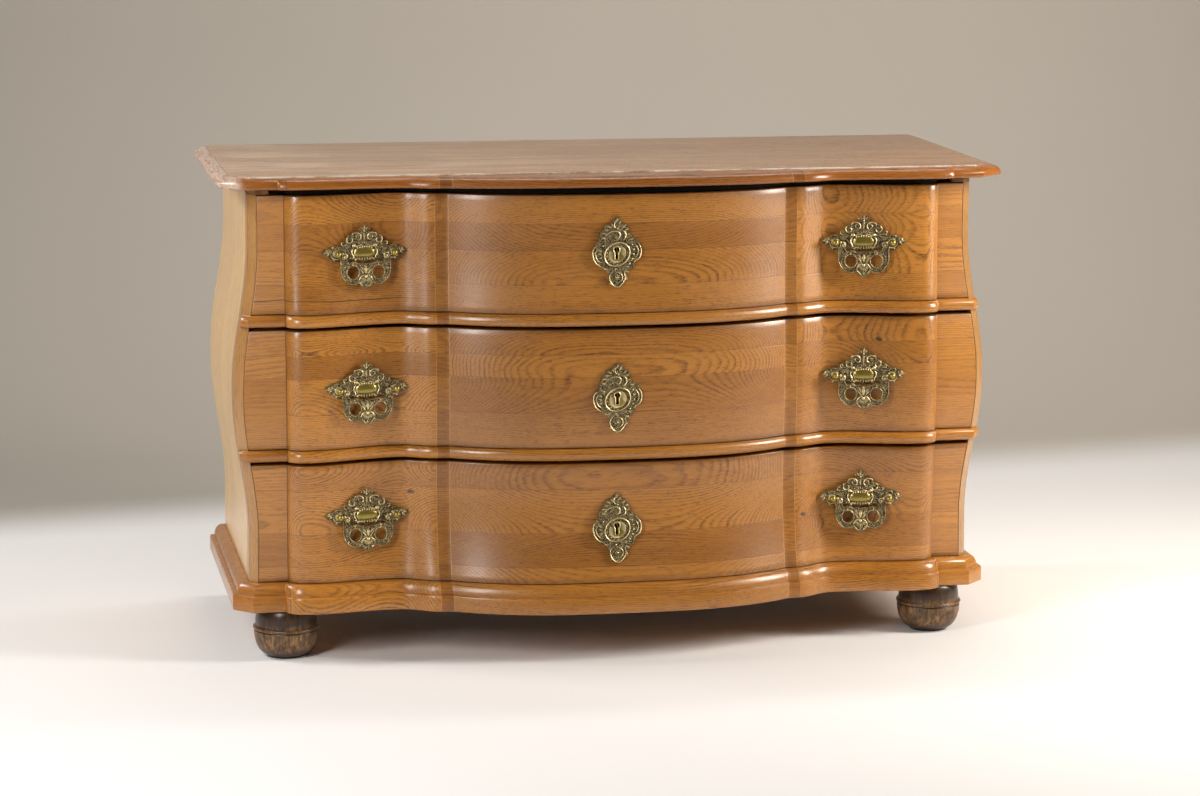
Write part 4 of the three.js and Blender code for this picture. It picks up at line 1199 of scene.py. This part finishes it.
class ChestFinish(bpy.types.PropertyGroup):
    """Colours and wear of the chest"""

    oak_light: FloatVectorProperty(
        name="Oak Light", description="Lightest tone of the drawer fronts", subtype="COLOR", size=3,
        min=0, max=1, default=(0.52, 0.214, 0.032),
    )
    oak_middle: FloatVectorProperty(
        name="Oak Middle", description="Main tone of the drawer fronts", subtype="COLOR", size=3,
        min=0, max=1, default=(0.34, 0.127, 0.014),
    )
    oak_dark: FloatVectorProperty(
        name="Oak Dark", description="Tone of the growth rings and pores", subtype="COLOR", size=3,
        min=0, max=1, default=(0.085, 0.026, 0.004),
    )
    brass_clean: FloatVectorProperty(
        name="Brass", description="Rubbed brass of the ridges", subtype="COLOR", size=3,
        min=0, max=1, default=(0.80, 0.64, 0.33),
    )
    brass_tarnish: FloatVectorProperty(
        name="Tarnish", description="Dull brass of the ground", subtype="COLOR", size=3,
        min=0, max=1, default=(0.15, 0.105, 0.036),
    )
    brass_patina: FloatVectorProperty(
        name="Patina", description="Dark brass of the hollows", subtype="COLOR", size=3,
        min=0, max=1, default=(0.022, 0.015, 0.006),
    )
    edge_darkening_share: FloatProperty(
        name="Edge Darkening", description="How much darkening lies along the edges", subtype="FACTOR", min=0, max=1,
        default=0.45,
    )
    speck_share: FloatProperty(
        name="Specks", description="How dark the small specks are", subtype="FACTOR", min=0, max=1,
        default=0.7,
    )


class ChestSizes(bpy.types.PropertyGroup):
    """Sizes that a restorer might change"""

    edge_rounding: FloatProperty(
        name="Edge Rounding", description="Softness of the worn edges of the wood", subtype="DISTANCE",
        unit="LENGTH", min=0, default=0.0012,
    )
    camera_lens: FloatProperty(
        name="Lens", description="Focal length of the camera", subtype="DISTANCE_CAMERA", min=20,
        default=105.07,
    )


# Operators, one for each piece or group of like pieces


class CHEST_OT_top(bpy.types.Operator):
    """Builds the top: a flat panel and the thumb moulding round it"""

    bl_idname = "chest.top"
    bl_label = "Top"

    def right_end(self, projection):
        end = cant_end(UNDER_TOP, projection)
        return [end, (end[0], depth(TOP_BACK))]

    def panel_line(self, projection):
        """The panel has a straight front. The moulding fills the serpentine before it."""
        return around([], [cant_front(UNDER_TOP, projection), *self.right_end(projection)])

    def execute(self, context):
        inner = TOP_PROJECTION - TOP_MOULDING
        edge = cant_front(UNDER_TOP, inner)[1]
        # The pale marks on the top are dust and scratches, with a painted sheen at the left end and a painted
        # highlight along the front arris
        wood = shared(
            "Top Oak", oak, ((0.43, 0.215, 0.088), (0.27, 0.120, 0.045), (0.075, 0.033, 0.013)), seed=41.0,
            ring=0.0045, limits=CLEAN_EDGES, seams=False, pore_share=0.65, roughness=0.38, coat=0.15,
            over=[(dust_and_sheen_mask, 0.70, (0.80, 0.62, 0.47)), (arris_highlight_and_dust, edge, (0.74, 0.64, 0.52))],
        )
        panel = loft([(z, self.panel_line(inner)) for z in (UNDER_TOP, TOP_LEVEL)])
        soften(panel, context.scene.chest_sizes.edge_rounding)
        piece(panel, "top_boards", wood, "top_panel", slot="top_oak")
        profile = [(UNDER_TOP, TOP_PROJECTION - 0.004), (UNDER_TOP + 0.0012, TOP_PROJECTION - 0.0015)]
        for turn in quarter(8):
            z = lerp(UNDER_TOP + 0.004, TOP_LEVEL - 0.002, math.sin(turn))
            profile.append((z, lerp(inner + 0.0015, TOP_PROJECTION, math.cos(turn))))
        inside = list(reversed(self.panel_line(inner + FIT)))
        sections = []
        for z, projection in profile:
            front = moulded_front(UNDER_TOP, projection, TOP_PLAN)
            sections.append((z, around(front, self.right_end(projection)) + inside))
        left_end = -half_width(UNDER_TOP) - TOP_PROJECTION
        # The pale left end is rubbed finish and a painted highlight
        wood = shared(
            "Top Moulding Oak", oak, ((0.36, 0.120, 0.018), (0.24, 0.072, 0.010), (0.07, 0.020, 0.003)),
            seed=59.0, limits=CLEAN_EDGES, roughness=0.30, coat=0.3,
            over=[(worn_end_and_highlight, left_end, (0.78, 0.66, 0.56))],
        )
        piece(loft(sections), "top_thumb_moulding", wood, "top_moulding", angle=MOULDING_ANGLE)
        return {"FINISHED"}


class CHEST_OT_sides(bpy.types.Operator):
    """Builds the swelling side boards and the canted stiles"""

    bl_idname = "chest.sides"
    bl_label = "Sides And Stiles"

    def board_line(self, z):
        outer = half_width(z)
        inner = outer - SIDE_THICKNESS
        start, back = depth(SIDE_START), depth(CARCASE_DEPTH)
        return [(outer, start), (outer, back), (inner, back), (inner, start)]

    def stile_line(self, z):
        outer = half_width(z)
        inside = outer - SIDE_THICKNESS - FIT
        front, back, end = depth(FRONT_THICKNESS + FIT), depth(SIDE_START - FIT), depth(STILE_DEPTH)
        return [
            cant_front(z, 0), cant_end(z, 0), (outer, back), (inside, back), (inside, end),
            (STILE_INNER, end), (STILE_INNER, front), (outer - CANT, front),
        ]

    def execute(self, context):
        side_oak = shared(
            "Side Oak", oak, ((0.88, 0.58, 0.25), (0.70, 0.42, 0.165), (0.36, 0.17, 0.055)),
            turn=UPRIGHT_GRAIN, seed=23.0, limits=(0.13, 0.81), ring=0.014, waviness=0.06, seams=False,
            ring_share=0.55, roughness=0.42,
        )
        stile_oak = shared(
            "Stile Oak", oak, ((0.46, 0.24, 0.075), (0.33, 0.155, 0.045), (0.12, 0.05, 0.015)),
            turn=UPRIGHT_GRAIN, seed=29.0, limits=(0.12, 0.79), ring=0.004, seams=False, ring_share=0.5,
        )
        low = FASCIA_TOP + FIT
        for word, side in SIDES:
            board = loft([
                (z, mirror_outline(side, self.board_line(z))) for z in levels(low, UNDER_TOP - FIT, 40)
            ])
            piece(board, word + "_side_board", side_oak, word + "_side")
            post = loft([(z, mirror_outline(side, self.stile_line(z))) for z in levels(low, STILE_TOP, 40)])
            soften(post, context.scene.chest_sizes.edge_rounding / 2, STILE_ANGLE, 1)
            piece(post, word + "_canted_stile", stile_oak, word + "_stile")
        return {"FINISHED"}


class CHEST_OT_rails(bpy.types.Operator):
    """Builds the two rails with their half-round beads"""

    bl_idname = "chest.rails"
    bl_label = "Beaded Rails"

    bolts = {"upper_rail": "middle_drawer_lock_bolt", "lower_rail": "lower_drawer_lock_bolt"}

    def mortise(self, bolt):
        """The hole that the bolt of the lock below shoots up into."""
        low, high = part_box(bolt)
        room = Vector((BOLT_ROOM, BOLT_ROOM, BOLT_ROOM))
        return block(low - room, high + room + Vector((0, 0, BOLT_THROW)))

    def section(self, z, projection):
        outer = half_width(z)
        inner, back = outer - CANT - FIT, depth(FRONT_THICKNESS)
        end = cant_end(z, 0)[1]
        right = [
            (outer, end - ROOT_TWO * projection), (outer, end - ROOT_TWO * FIT), cant_front(z, FIT),
            (inner, flat_front(z) - FIT), (inner, back), (STILE_INNER - FIT, back),
            (STILE_INNER - FIT, depth(RAIL_DEPTH)),
        ]
        return z, around(moulded_front(z, projection, DRAWER_PLAN), right)

    def execute(self, context):
        for name, bottom in RAIL_BOTTOMS.items():
            sections = []
            for turn in levels(-math.pi / 2, math.pi / 2, 12):
                z = bottom + RAIL_HEIGHT * (0.5 + 0.5 * math.sin(turn))
                sections.append(self.section(z, lerp(BEAD_FILLET, BEAD, math.cos(turn))))
            rail = carved(loft(sections), [self.mortise(self.bolts[name])])
            piece(rail, name + "_bead", moulding_oak(), name, angle=MOULDING_ANGLE)
        return {"FINISHED"}


class CHEST_OT_base(bpy.types.Operator):
    """Builds the base moulding: the front and the two returns"""

    bl_idname = "chest.base"
    bl_label = "Base Moulding"

    def profile(self):
        """Heights and projections, first of the deep fascia and then of the shallow ovolo over it."""
        rows = [
            (FOOT_HEIGHT, BASE_PROJECTION - 0.0015, True), (FOOT_HEIGHT + 0.0015, BASE_PROJECTION, True),
            (FASCIA_TOP - 0.0035, BASE_PROJECTION, True), (FASCIA_TOP - 0.001, BASE_PROJECTION - 0.001, True),
            (FASCIA_TOP, BASE_PROJECTION - 0.003, True),
        ]
        for turn in quarter(8):
            z = max(FASCIA_TOP + 1e-5, lerp(FASCIA_TOP, BASE_TOP, math.sin(turn)))
            rows.append((z, lerp(OVOLO_TOP, OVOLO_PROJECTION, math.cos(turn)), False))
        return rows

    def front_section(self, z, projection, deep):
        outer = half_width(z)
        inside = outer - CANT - FIT
        behind, slab_back = depth(FRONT_THICKNESS), depth(SLAB_DEPTH)
        right = [cant_end(z, projection)]
        if deep:
            right += [cant_end(z, 0), (outer, behind), (outer, slab_back), (inside, slab_back)]
        else:
            right += [cant_end(z, FIT), cant_front(z, FIT), (inside, flat_front(z) - FIT), (inside, behind)]
        return z, around(moulded_front(z, projection, BASE_PLAN), right)

    def return_section(self, side, z, projection, deep):
        outer = half_width(z) + projection
        wall = half_width(z) + FIT
        gap = FIT * ROOT_TWO
        back, slab_back = depth(CARCASE_DEPTH), depth(SLAB_DEPTH + FIT)
        inner = [(SLAB_INNER, back), (SLAB_INNER, slab_back)]
        if not deep:
            inner = [(wall, back), (wall, depth(CARCASE_DEPTH / 2))]
        return z, mirror_outline(side, [
            (outer, cant_end(z, projection)[1] + gap), (outer, back), *inner, (wall, slab_back),
            (wall, cant_end(z, FIT)[1] + gap),
        ])

    def execute(self, context):
        wood = moulding_oak()
        front = loft([self.front_section(*row) for row in self.profile()])
        piece(front, "base_front_moulding", wood, "base_front", angle=MOULDING_ANGLE)
        for word, side in SIDES:
            body = loft([self.return_section(side, *row) for row in self.profile()])
            piece(body, f"base_{word}_moulding", wood, "base_" + word, angle=MOULDING_ANGLE)
        return {"FINISHED"}


class CHEST_OT_fronts(bpy.types.Operator):
    """Builds the three drawer fronts"""

    bl_idname = "chest.fronts"
    bl_label = "Drawer Fronts"

    joint_shares = {
        "upper_drawer": (0.24, 0.53, 0.76), "middle_drawer": (0.30, 0.60, 0.79),
        "lower_drawer": (0.13, 0.41, 0.78),
    }
    knots = {"middle_drawer": [(0.458, 0.5225)], "lower_drawer": [(-0.354, 0.2795), (0.328, 0.2195)]}
    cracks = {"upper_drawer": [0.611]}

    def keyhole_cutter(self, name):
        cutter = bmesh.new()
        slab(cutter, [keyhole_line(*KEYHOLE)], 40, rounding=0.1)
        low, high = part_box(name + "_lock_case")
        place = Vector((KEYHOLE_PLACE, (low.y + high.y) / 2, KEYHOLE_LEVELS[name]))
        upright = Matrix(((1, 0, 0), (0, 0, -1), (0, 1, 0))).to_4x4()
        cutter.transform(Matrix.Translation(place) @ upright @ Matrix.Scale(MILLIMETRE, 4))
        bmesh.ops.recalc_face_normals(cutter, faces=cutter.faces)
        return cutter

    def lock_recess(self, name):
        low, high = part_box(name + "_lock_case")
        return block(low - Vector((FIT, FIT, FIT)), high + Vector((FIT, RECESS_ROOM, RECESS_ROOM)))

    def outline(self, z):
        edge = half_width(z) - CANT - 2 * FIT
        back = depth(FRONT_THICKNESS)
        half = [*inside_line(), (FLAT_BACK, back), (edge, back)]
        inner = [flip(point) for point in reversed(half[1:])] + half
        return [(x, front_y(x, z)) for x in (-edge, *STATIONS, edge)] + list(reversed(inner))

    def execute(self, context):
        for number, name in enumerate(DRAWERS):
            low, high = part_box(name + "_front")
            front = loft([(z, self.outline(z)) for z in levels(low.z, high.z, 20)])
            soften(front, context.scene.chest_sizes.edge_rounding)
            front = carved(front, [self.keyhole_cutter(name), self.lock_recess(name)])
            under = [(knot_mask, place, (0.035, 0.018, 0.008)) for place in self.knots.get(name, ())]
            under += [(crack_mask, level, (0.02, 0.01, 0.004)) for level in self.cracks.get(name, ())]
            # Painted shade: the wood inside the keyhole is black
            keyhole = (keyhole_shade_mask, (KEYHOLE_PLACE, KEYHOLE_LEVELS[name]), PAINTED_SHADE_BLACK)
            wood = shared(
                name.replace("_", " ").title() + " Oak", oak, front_tones(), seed=3.0 + 11.0 * number,
                joints=[lerp(low.z, high.z, share) for share in self.joint_shares[name]],
                limits=(low.z, high.z), under=under, over=[keyhole],
            )
            piece(front, name + "_oak_front", wood, name + "_front", body=name)
        return {"FINISHED"}


class CHEST_OT_feet(bpy.types.Operator):
    """Turns the four bun feet"""

    bl_idname = "chest.feet"
    bl_label = "Bun Feet"

    def profile(self):
        """From the floor: the worn heel, the belly, a groove, a ring and the neck."""
        points = [(0, 0), (0.0320, 0), (0.0330, 0.001), (0.0330, 0.003)]
        for turn in quarter(14):
            points.append((0.0315 + 0.0235 * math.sin(turn), 0.0035 + 0.0415 * (1 - math.cos(turn))))
        points += [(0.0545, 0.0465), (0.0535, 0.0475)]
        for turn in levels(0, math.pi, 8):
            points.append((0.0540 + 0.0025 * math.sin(turn), 0.0505 - 0.003 * math.cos(turn)))
        points += [(0.0528, 0.0545), (0.0524, 0.056)]
        for turn in quarter(8):
            points.append((lerp(0.0462, 0.0524, math.cos(turn)), 0.058 + 0.0262 * math.sin(turn)))
        return points + [(0, 0.0842)]

    def execute(self, context):
        for end in ("front", "back"):
            for word, _ in SIDES:
                node = f"{end}_{word}_foot"
                low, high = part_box(node)
                foot = bmesh.new()
                turned(foot, self.profile(), ((low.x + high.x) / 2, (low.y + high.y) / 2, 0))
                bmesh.ops.recalc_face_normals(foot, faces=foot.faces)
                piece(foot, f"{end}_{word}_bun", shared("Foot Oak", foot_oak), node, slot="dark_oak")
        return {"FINISHED"}


class CHEST_OT_handles(bpy.types.Operator):
    """Casts the handle plates with their ball-headed posts, and the pierced bails"""

    bl_idname = "chest.handles"
    bl_label = "Handles"

    round_plates = ("upper_drawer_left", "upper_drawer_right", "lower_drawer_left")

    def plate(self, wide):
        """A plate without its posts."""
        half = DIAMOND_PLATE if wide else ROUND_PLATE
        made = rimmed_plate(smooth_line([*half, *map(flip, reversed(half[1:-1]))], True, 3))
        plate_ornament(made, wide)
        return made

    def reach(self, seat):
        """How far the shanks run back to the inside of the front, in millimetres."""
        most = 0
        out = seat.col[2].to_3d().normalized()
        for end in (-POST_PLACE - NUT / 2, -POST_PLACE + NUT / 2, POST_PLACE - NUT / 2, POST_PLACE + NUT / 2):
            start = seat @ Vector((end, 0, 0))
            y = float(np.interp(abs(start.x), *zip(*inside_line())))
            most = max(most, (y - start.y) / -out.y)
        return (most + FIT) / MILLIMETRE

    def execute(self, context):
        plates = {wide: self.plate(wide) for wide in (False, True)}
        bail = pierced_bail()
        for name in DRAWERS:
            low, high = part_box(name + "_front")
            level = (low.z + high.z) / 2 + HANDLE_RISES[name]
            for word, side in SIDES:
                part = f"{name}_{word}"
                seat = seat_on_front(side * HANDLE_PLACE, level, HANDLE_REACH, HANDLE_RISE)
                plate = plates[part not in self.round_plates].copy()
                handle_posts(plate, self.reach(seat))
                finish_casting(
                    plate, seat, PLATE_RELIEF_LEVEL, part + "_cast_plate", name, part + "_handle_plate",
                )
                loop = bail.copy()
                finish_casting(
                    loop, seat, BAIL_RELIEF_LEVEL, part + "_pierced_bail", part + "_bail", part + "_bail",
                )
        for casting in (*plates.values(), bail):
            casting.free()
        return {"FINISHED"}


class CHEST_OT_escutcheons(bpy.types.Operator):
    """Casts the three escutcheons round the keyholes"""

    bl_idname = "chest.escutcheons"
    bl_label = "Escutcheons"

    def execute(self, context):
        keyhole = keyhole_line(*KEYHOLE)
        for name in DRAWERS:
            seat = seat_on_front(KEYHOLE_PLACE, KEYHOLE_LEVELS[name], ESCUTCHEON_REACH, ESCUTCHEON_RISE)
            plate = rimmed_plate(smooth_line(ESCUTCHEON, True, 3), keyhole)
            escutcheon_ornament(plate, keyhole)
            finish_casting(
                plate, seat, PLATE_RELIEF_LEVEL, name + "_cast_escutcheon", name, name + "_escutcheon",
            )
        return {"FINISHED"}


class CHEST_OT_inner_parts(bpy.types.Operator):
    """Finishes the boards, runners and locks that stay as they are"""

    bl_idname = "chest.inner_parts"
    bl_label = "Inner Parts"

    def execute(self, context):
        plain = ((0.50, 0.33, 0.17), (0.38, 0.235, 0.11), (0.17, 0.09, 0.04))
        # Painted shade: the underside tones are dark, to stand for the shade under the chest
        painted_shade_tones = ((0.13, 0.085, 0.05), (0.085, 0.052, 0.028), (0.035, 0.02, 0.01))
        bare = {"seams": False, "coat": 0.0}
        across = shared("Plain Oak", oak, plain, seed=83.0, roughness=0.62, **bare)
        along = shared(
            "Plain Oak Along", oak, plain, turn=(0, 0, math.pi / 2), seed=91.0, roughness=0.62, **bare,
        )
        # Painted shade: the front of the rail in the gap under the top is black
        dress("top_rail", shared("Rail Oak And Painted Shade", rail_oak_and_painted_shade))
        dress("back_board", across)
        dress("bottom_board", shared("Underside Oak", oak, painted_shade_tones, seed=97.0, roughness=0.7, **bare))
        for name in DRAWERS:
            for end in ("back", "bottom"):
                dress(f"{name}_{end}", across)
            for end in ("left_side", "left_runner", "right_side", "right_runner"):
                dress(f"{name}_{end}", along)
            for end in ("lock_case", "lock_bolt"):
                dress(f"{name}_{end}", shared("Lock Iron", iron))
        return {"FINISHED"}


class CHEST_OT_stage(bpy.types.Operator):
    """Sets up the pale floor, the backdrop, the lamps and the camera"""

    bl_idname = "chest.stage"
    bl_label = "Studio"

    middle = (0, 0, 0.45)
    # Name, place, target, size, power and tint
    lamps = (
        ("key_left", (-3.0, 0.5, 2.6), middle, (1.0, 1.0), 70, (1.0, 0.99, 0.98)),
        ("high_left", (-2.6, -2.7, 3.2), middle, (1.4, 1.4), 16, (1.0, 0.98, 0.95)),
        ("soft_left", (-1.62, -1.70, 1.25), middle, (0.4, 1.1), 25, (1.0, 0.98, 0.96)),
        ("soft_right", (1.88, -0.79, 1.25), middle, (0.45, 1.0), 50, (1.0, 0.94, 0.85)),
        ("high_right", (2.7, -2.5, 3.0), middle, (1.8, 1.8), 5, (1.0, 0.97, 0.92)),
        ("wall_glow", (0.6, 0.9, 3.4), (0.6, 2.4, 1.0), (2.4, 0.5), 40, (1.0, 0.98, 0.96)),
    )
    camera_place = (-1.1361, -5.7826, 1.467)
    camera_turn = (math.radians(10.857), math.radians(9.985), math.radians(0.22))
    floor_start, floor_end, wall_top = -9.0, 1.6, 4.5
    floor_width = 14.0
    cove = 0.9

    def floor(self):
        """Paper that runs level under the chest and turns up into a wall behind it."""
        bm = bmesh.new()
        profile = [(self.floor_start, 0.0)]
        for turn in quarter(12):
            y = self.floor_end + self.cove * math.sin(turn)
            profile.append((y, self.cove * (1 - math.cos(turn))))
        profile.append((self.floor_end + self.cove, self.wall_top))
        chain = [bm.verts.new((-self.floor_width / 2, y, z)) for y, z in profile]
        edges = [bm.edges.new(pair) for pair in zip(chain, chain[1:])]
        made = bmesh.ops.extrude_edge_only(bm, edges=edges)
        moved = [item for item in made["geom"] if isinstance(item, bmesh.types.BMVert)]
        bmesh.ops.translate(bm, verts=moved, vec=(self.floor_width, 0, 0))
        floor = add_object(bm, "studio_floor", shared("Studio Paper", paper))

    def lamp(self, name, place, target, size, power, tint):
        data = bpy.data.lights.new(name, "AREA")
        data.shape = "RECTANGLE"
        data.size, data.size_y = size
        data.energy = power
        data.color = tint
        made = bpy.data.objects.new(name, data)
        made.location = place
        made.rotation_euler = (Vector(target) - Vector(place)).to_track_quat("-Z", "Y").to_euler()
        bpy.context.scene.collection.objects.link(made)

    def camera(self, lens):
        yaw, pitch, roll = self.camera_turn
        ahead = Vector((math.sin(yaw) * math.cos(pitch), math.cos(yaw) * math.cos(pitch), -math.sin(pitch)))
        right = Vector((math.cos(yaw), -math.sin(yaw), 0))
        up = right.cross(ahead)
        rolled = right * math.cos(roll) + up * math.sin(roll)
        raised = up * math.cos(roll) - right * math.sin(roll)
        data = bpy.data.cameras.new("photo_camera")
        data.lens = lens
        data.sensor_width = 36
        data.clip_end = 60
        made = bpy.data.objects.new("photo_camera", data)
        x, y, z = self.camera_place
        turn = Matrix((rolled, raised, -ahead)).transposed().to_4x4()
        made.matrix_world = Matrix.Translation((x, depth(y), z)) @ turn
        bpy.context.scene.collection.objects.link(made)
        return made

    def execute(self, context):
        scene = context.scene
        self.floor()
        for row in self.lamps:
            self.lamp(*row)
        scene.world = bpy.data.worlds.new("Studio")
        scene.world.use_nodes = True
        background = scene.world.node_tree.nodes["Background"]
        fill(background, {"Color": (1.0, 1.0, 1.0, 1.0), "Strength": 0.03})
        scene.view_settings.view_transform = "Standard"
        scene.camera = self.camera(scene.chest_sizes.camera_lens)
        return {"FINISHED"}


class CHEST_PT_panel(bpy.types.Panel):
    """Lists the steps that build the chest"""

    bl_label = "Chest"
    bl_idname = "CHEST_PT_panel"
    bl_space_type = "VIEW_3D"
    bl_region_type = "UI"
    bl_category = "Chest"

    def draw(self, context):
        column = self.layout.column()
        for group in (context.scene.chest_finish, context.scene.chest_sizes):
            for key in group.__annotations__:
                column.prop(group, key)
        for operator in STEPS:
            column.operator(operator.bl_idname)


STEPS = (
    CHEST_OT_stage, CHEST_OT_top, CHEST_OT_sides, CHEST_OT_rails, CHEST_OT_base, CHEST_OT_fronts,
    CHEST_OT_feet, CHEST_OT_handles, CHEST_OT_escutcheons, CHEST_OT_inner_parts,
)
CLASSES = (ChestFinish, ChestSizes, *STEPS, CHEST_PT_panel)


def register():
    for item in CLASSES:
        bpy.utils.register_class(item)
    bpy.types.Scene.chest_finish = PointerProperty(type=ChestFinish)
    bpy.types.Scene.chest_sizes = PointerProperty(type=ChestSizes)


def unregister():
    del bpy.types.Scene.chest_sizes
    del bpy.types.Scene.chest_finish
    for item in reversed(CLASSES):
        bpy.utils.unregister_class(item)


def main():
    register()
    board_group()
    figure_group()
    wear_group()
    for step in STEPS:
        prefix, name = step.bl_idname.split(".")
        getattr(getattr(bpy.ops, prefix), name)()


if __name__ == "__main__":
    main()
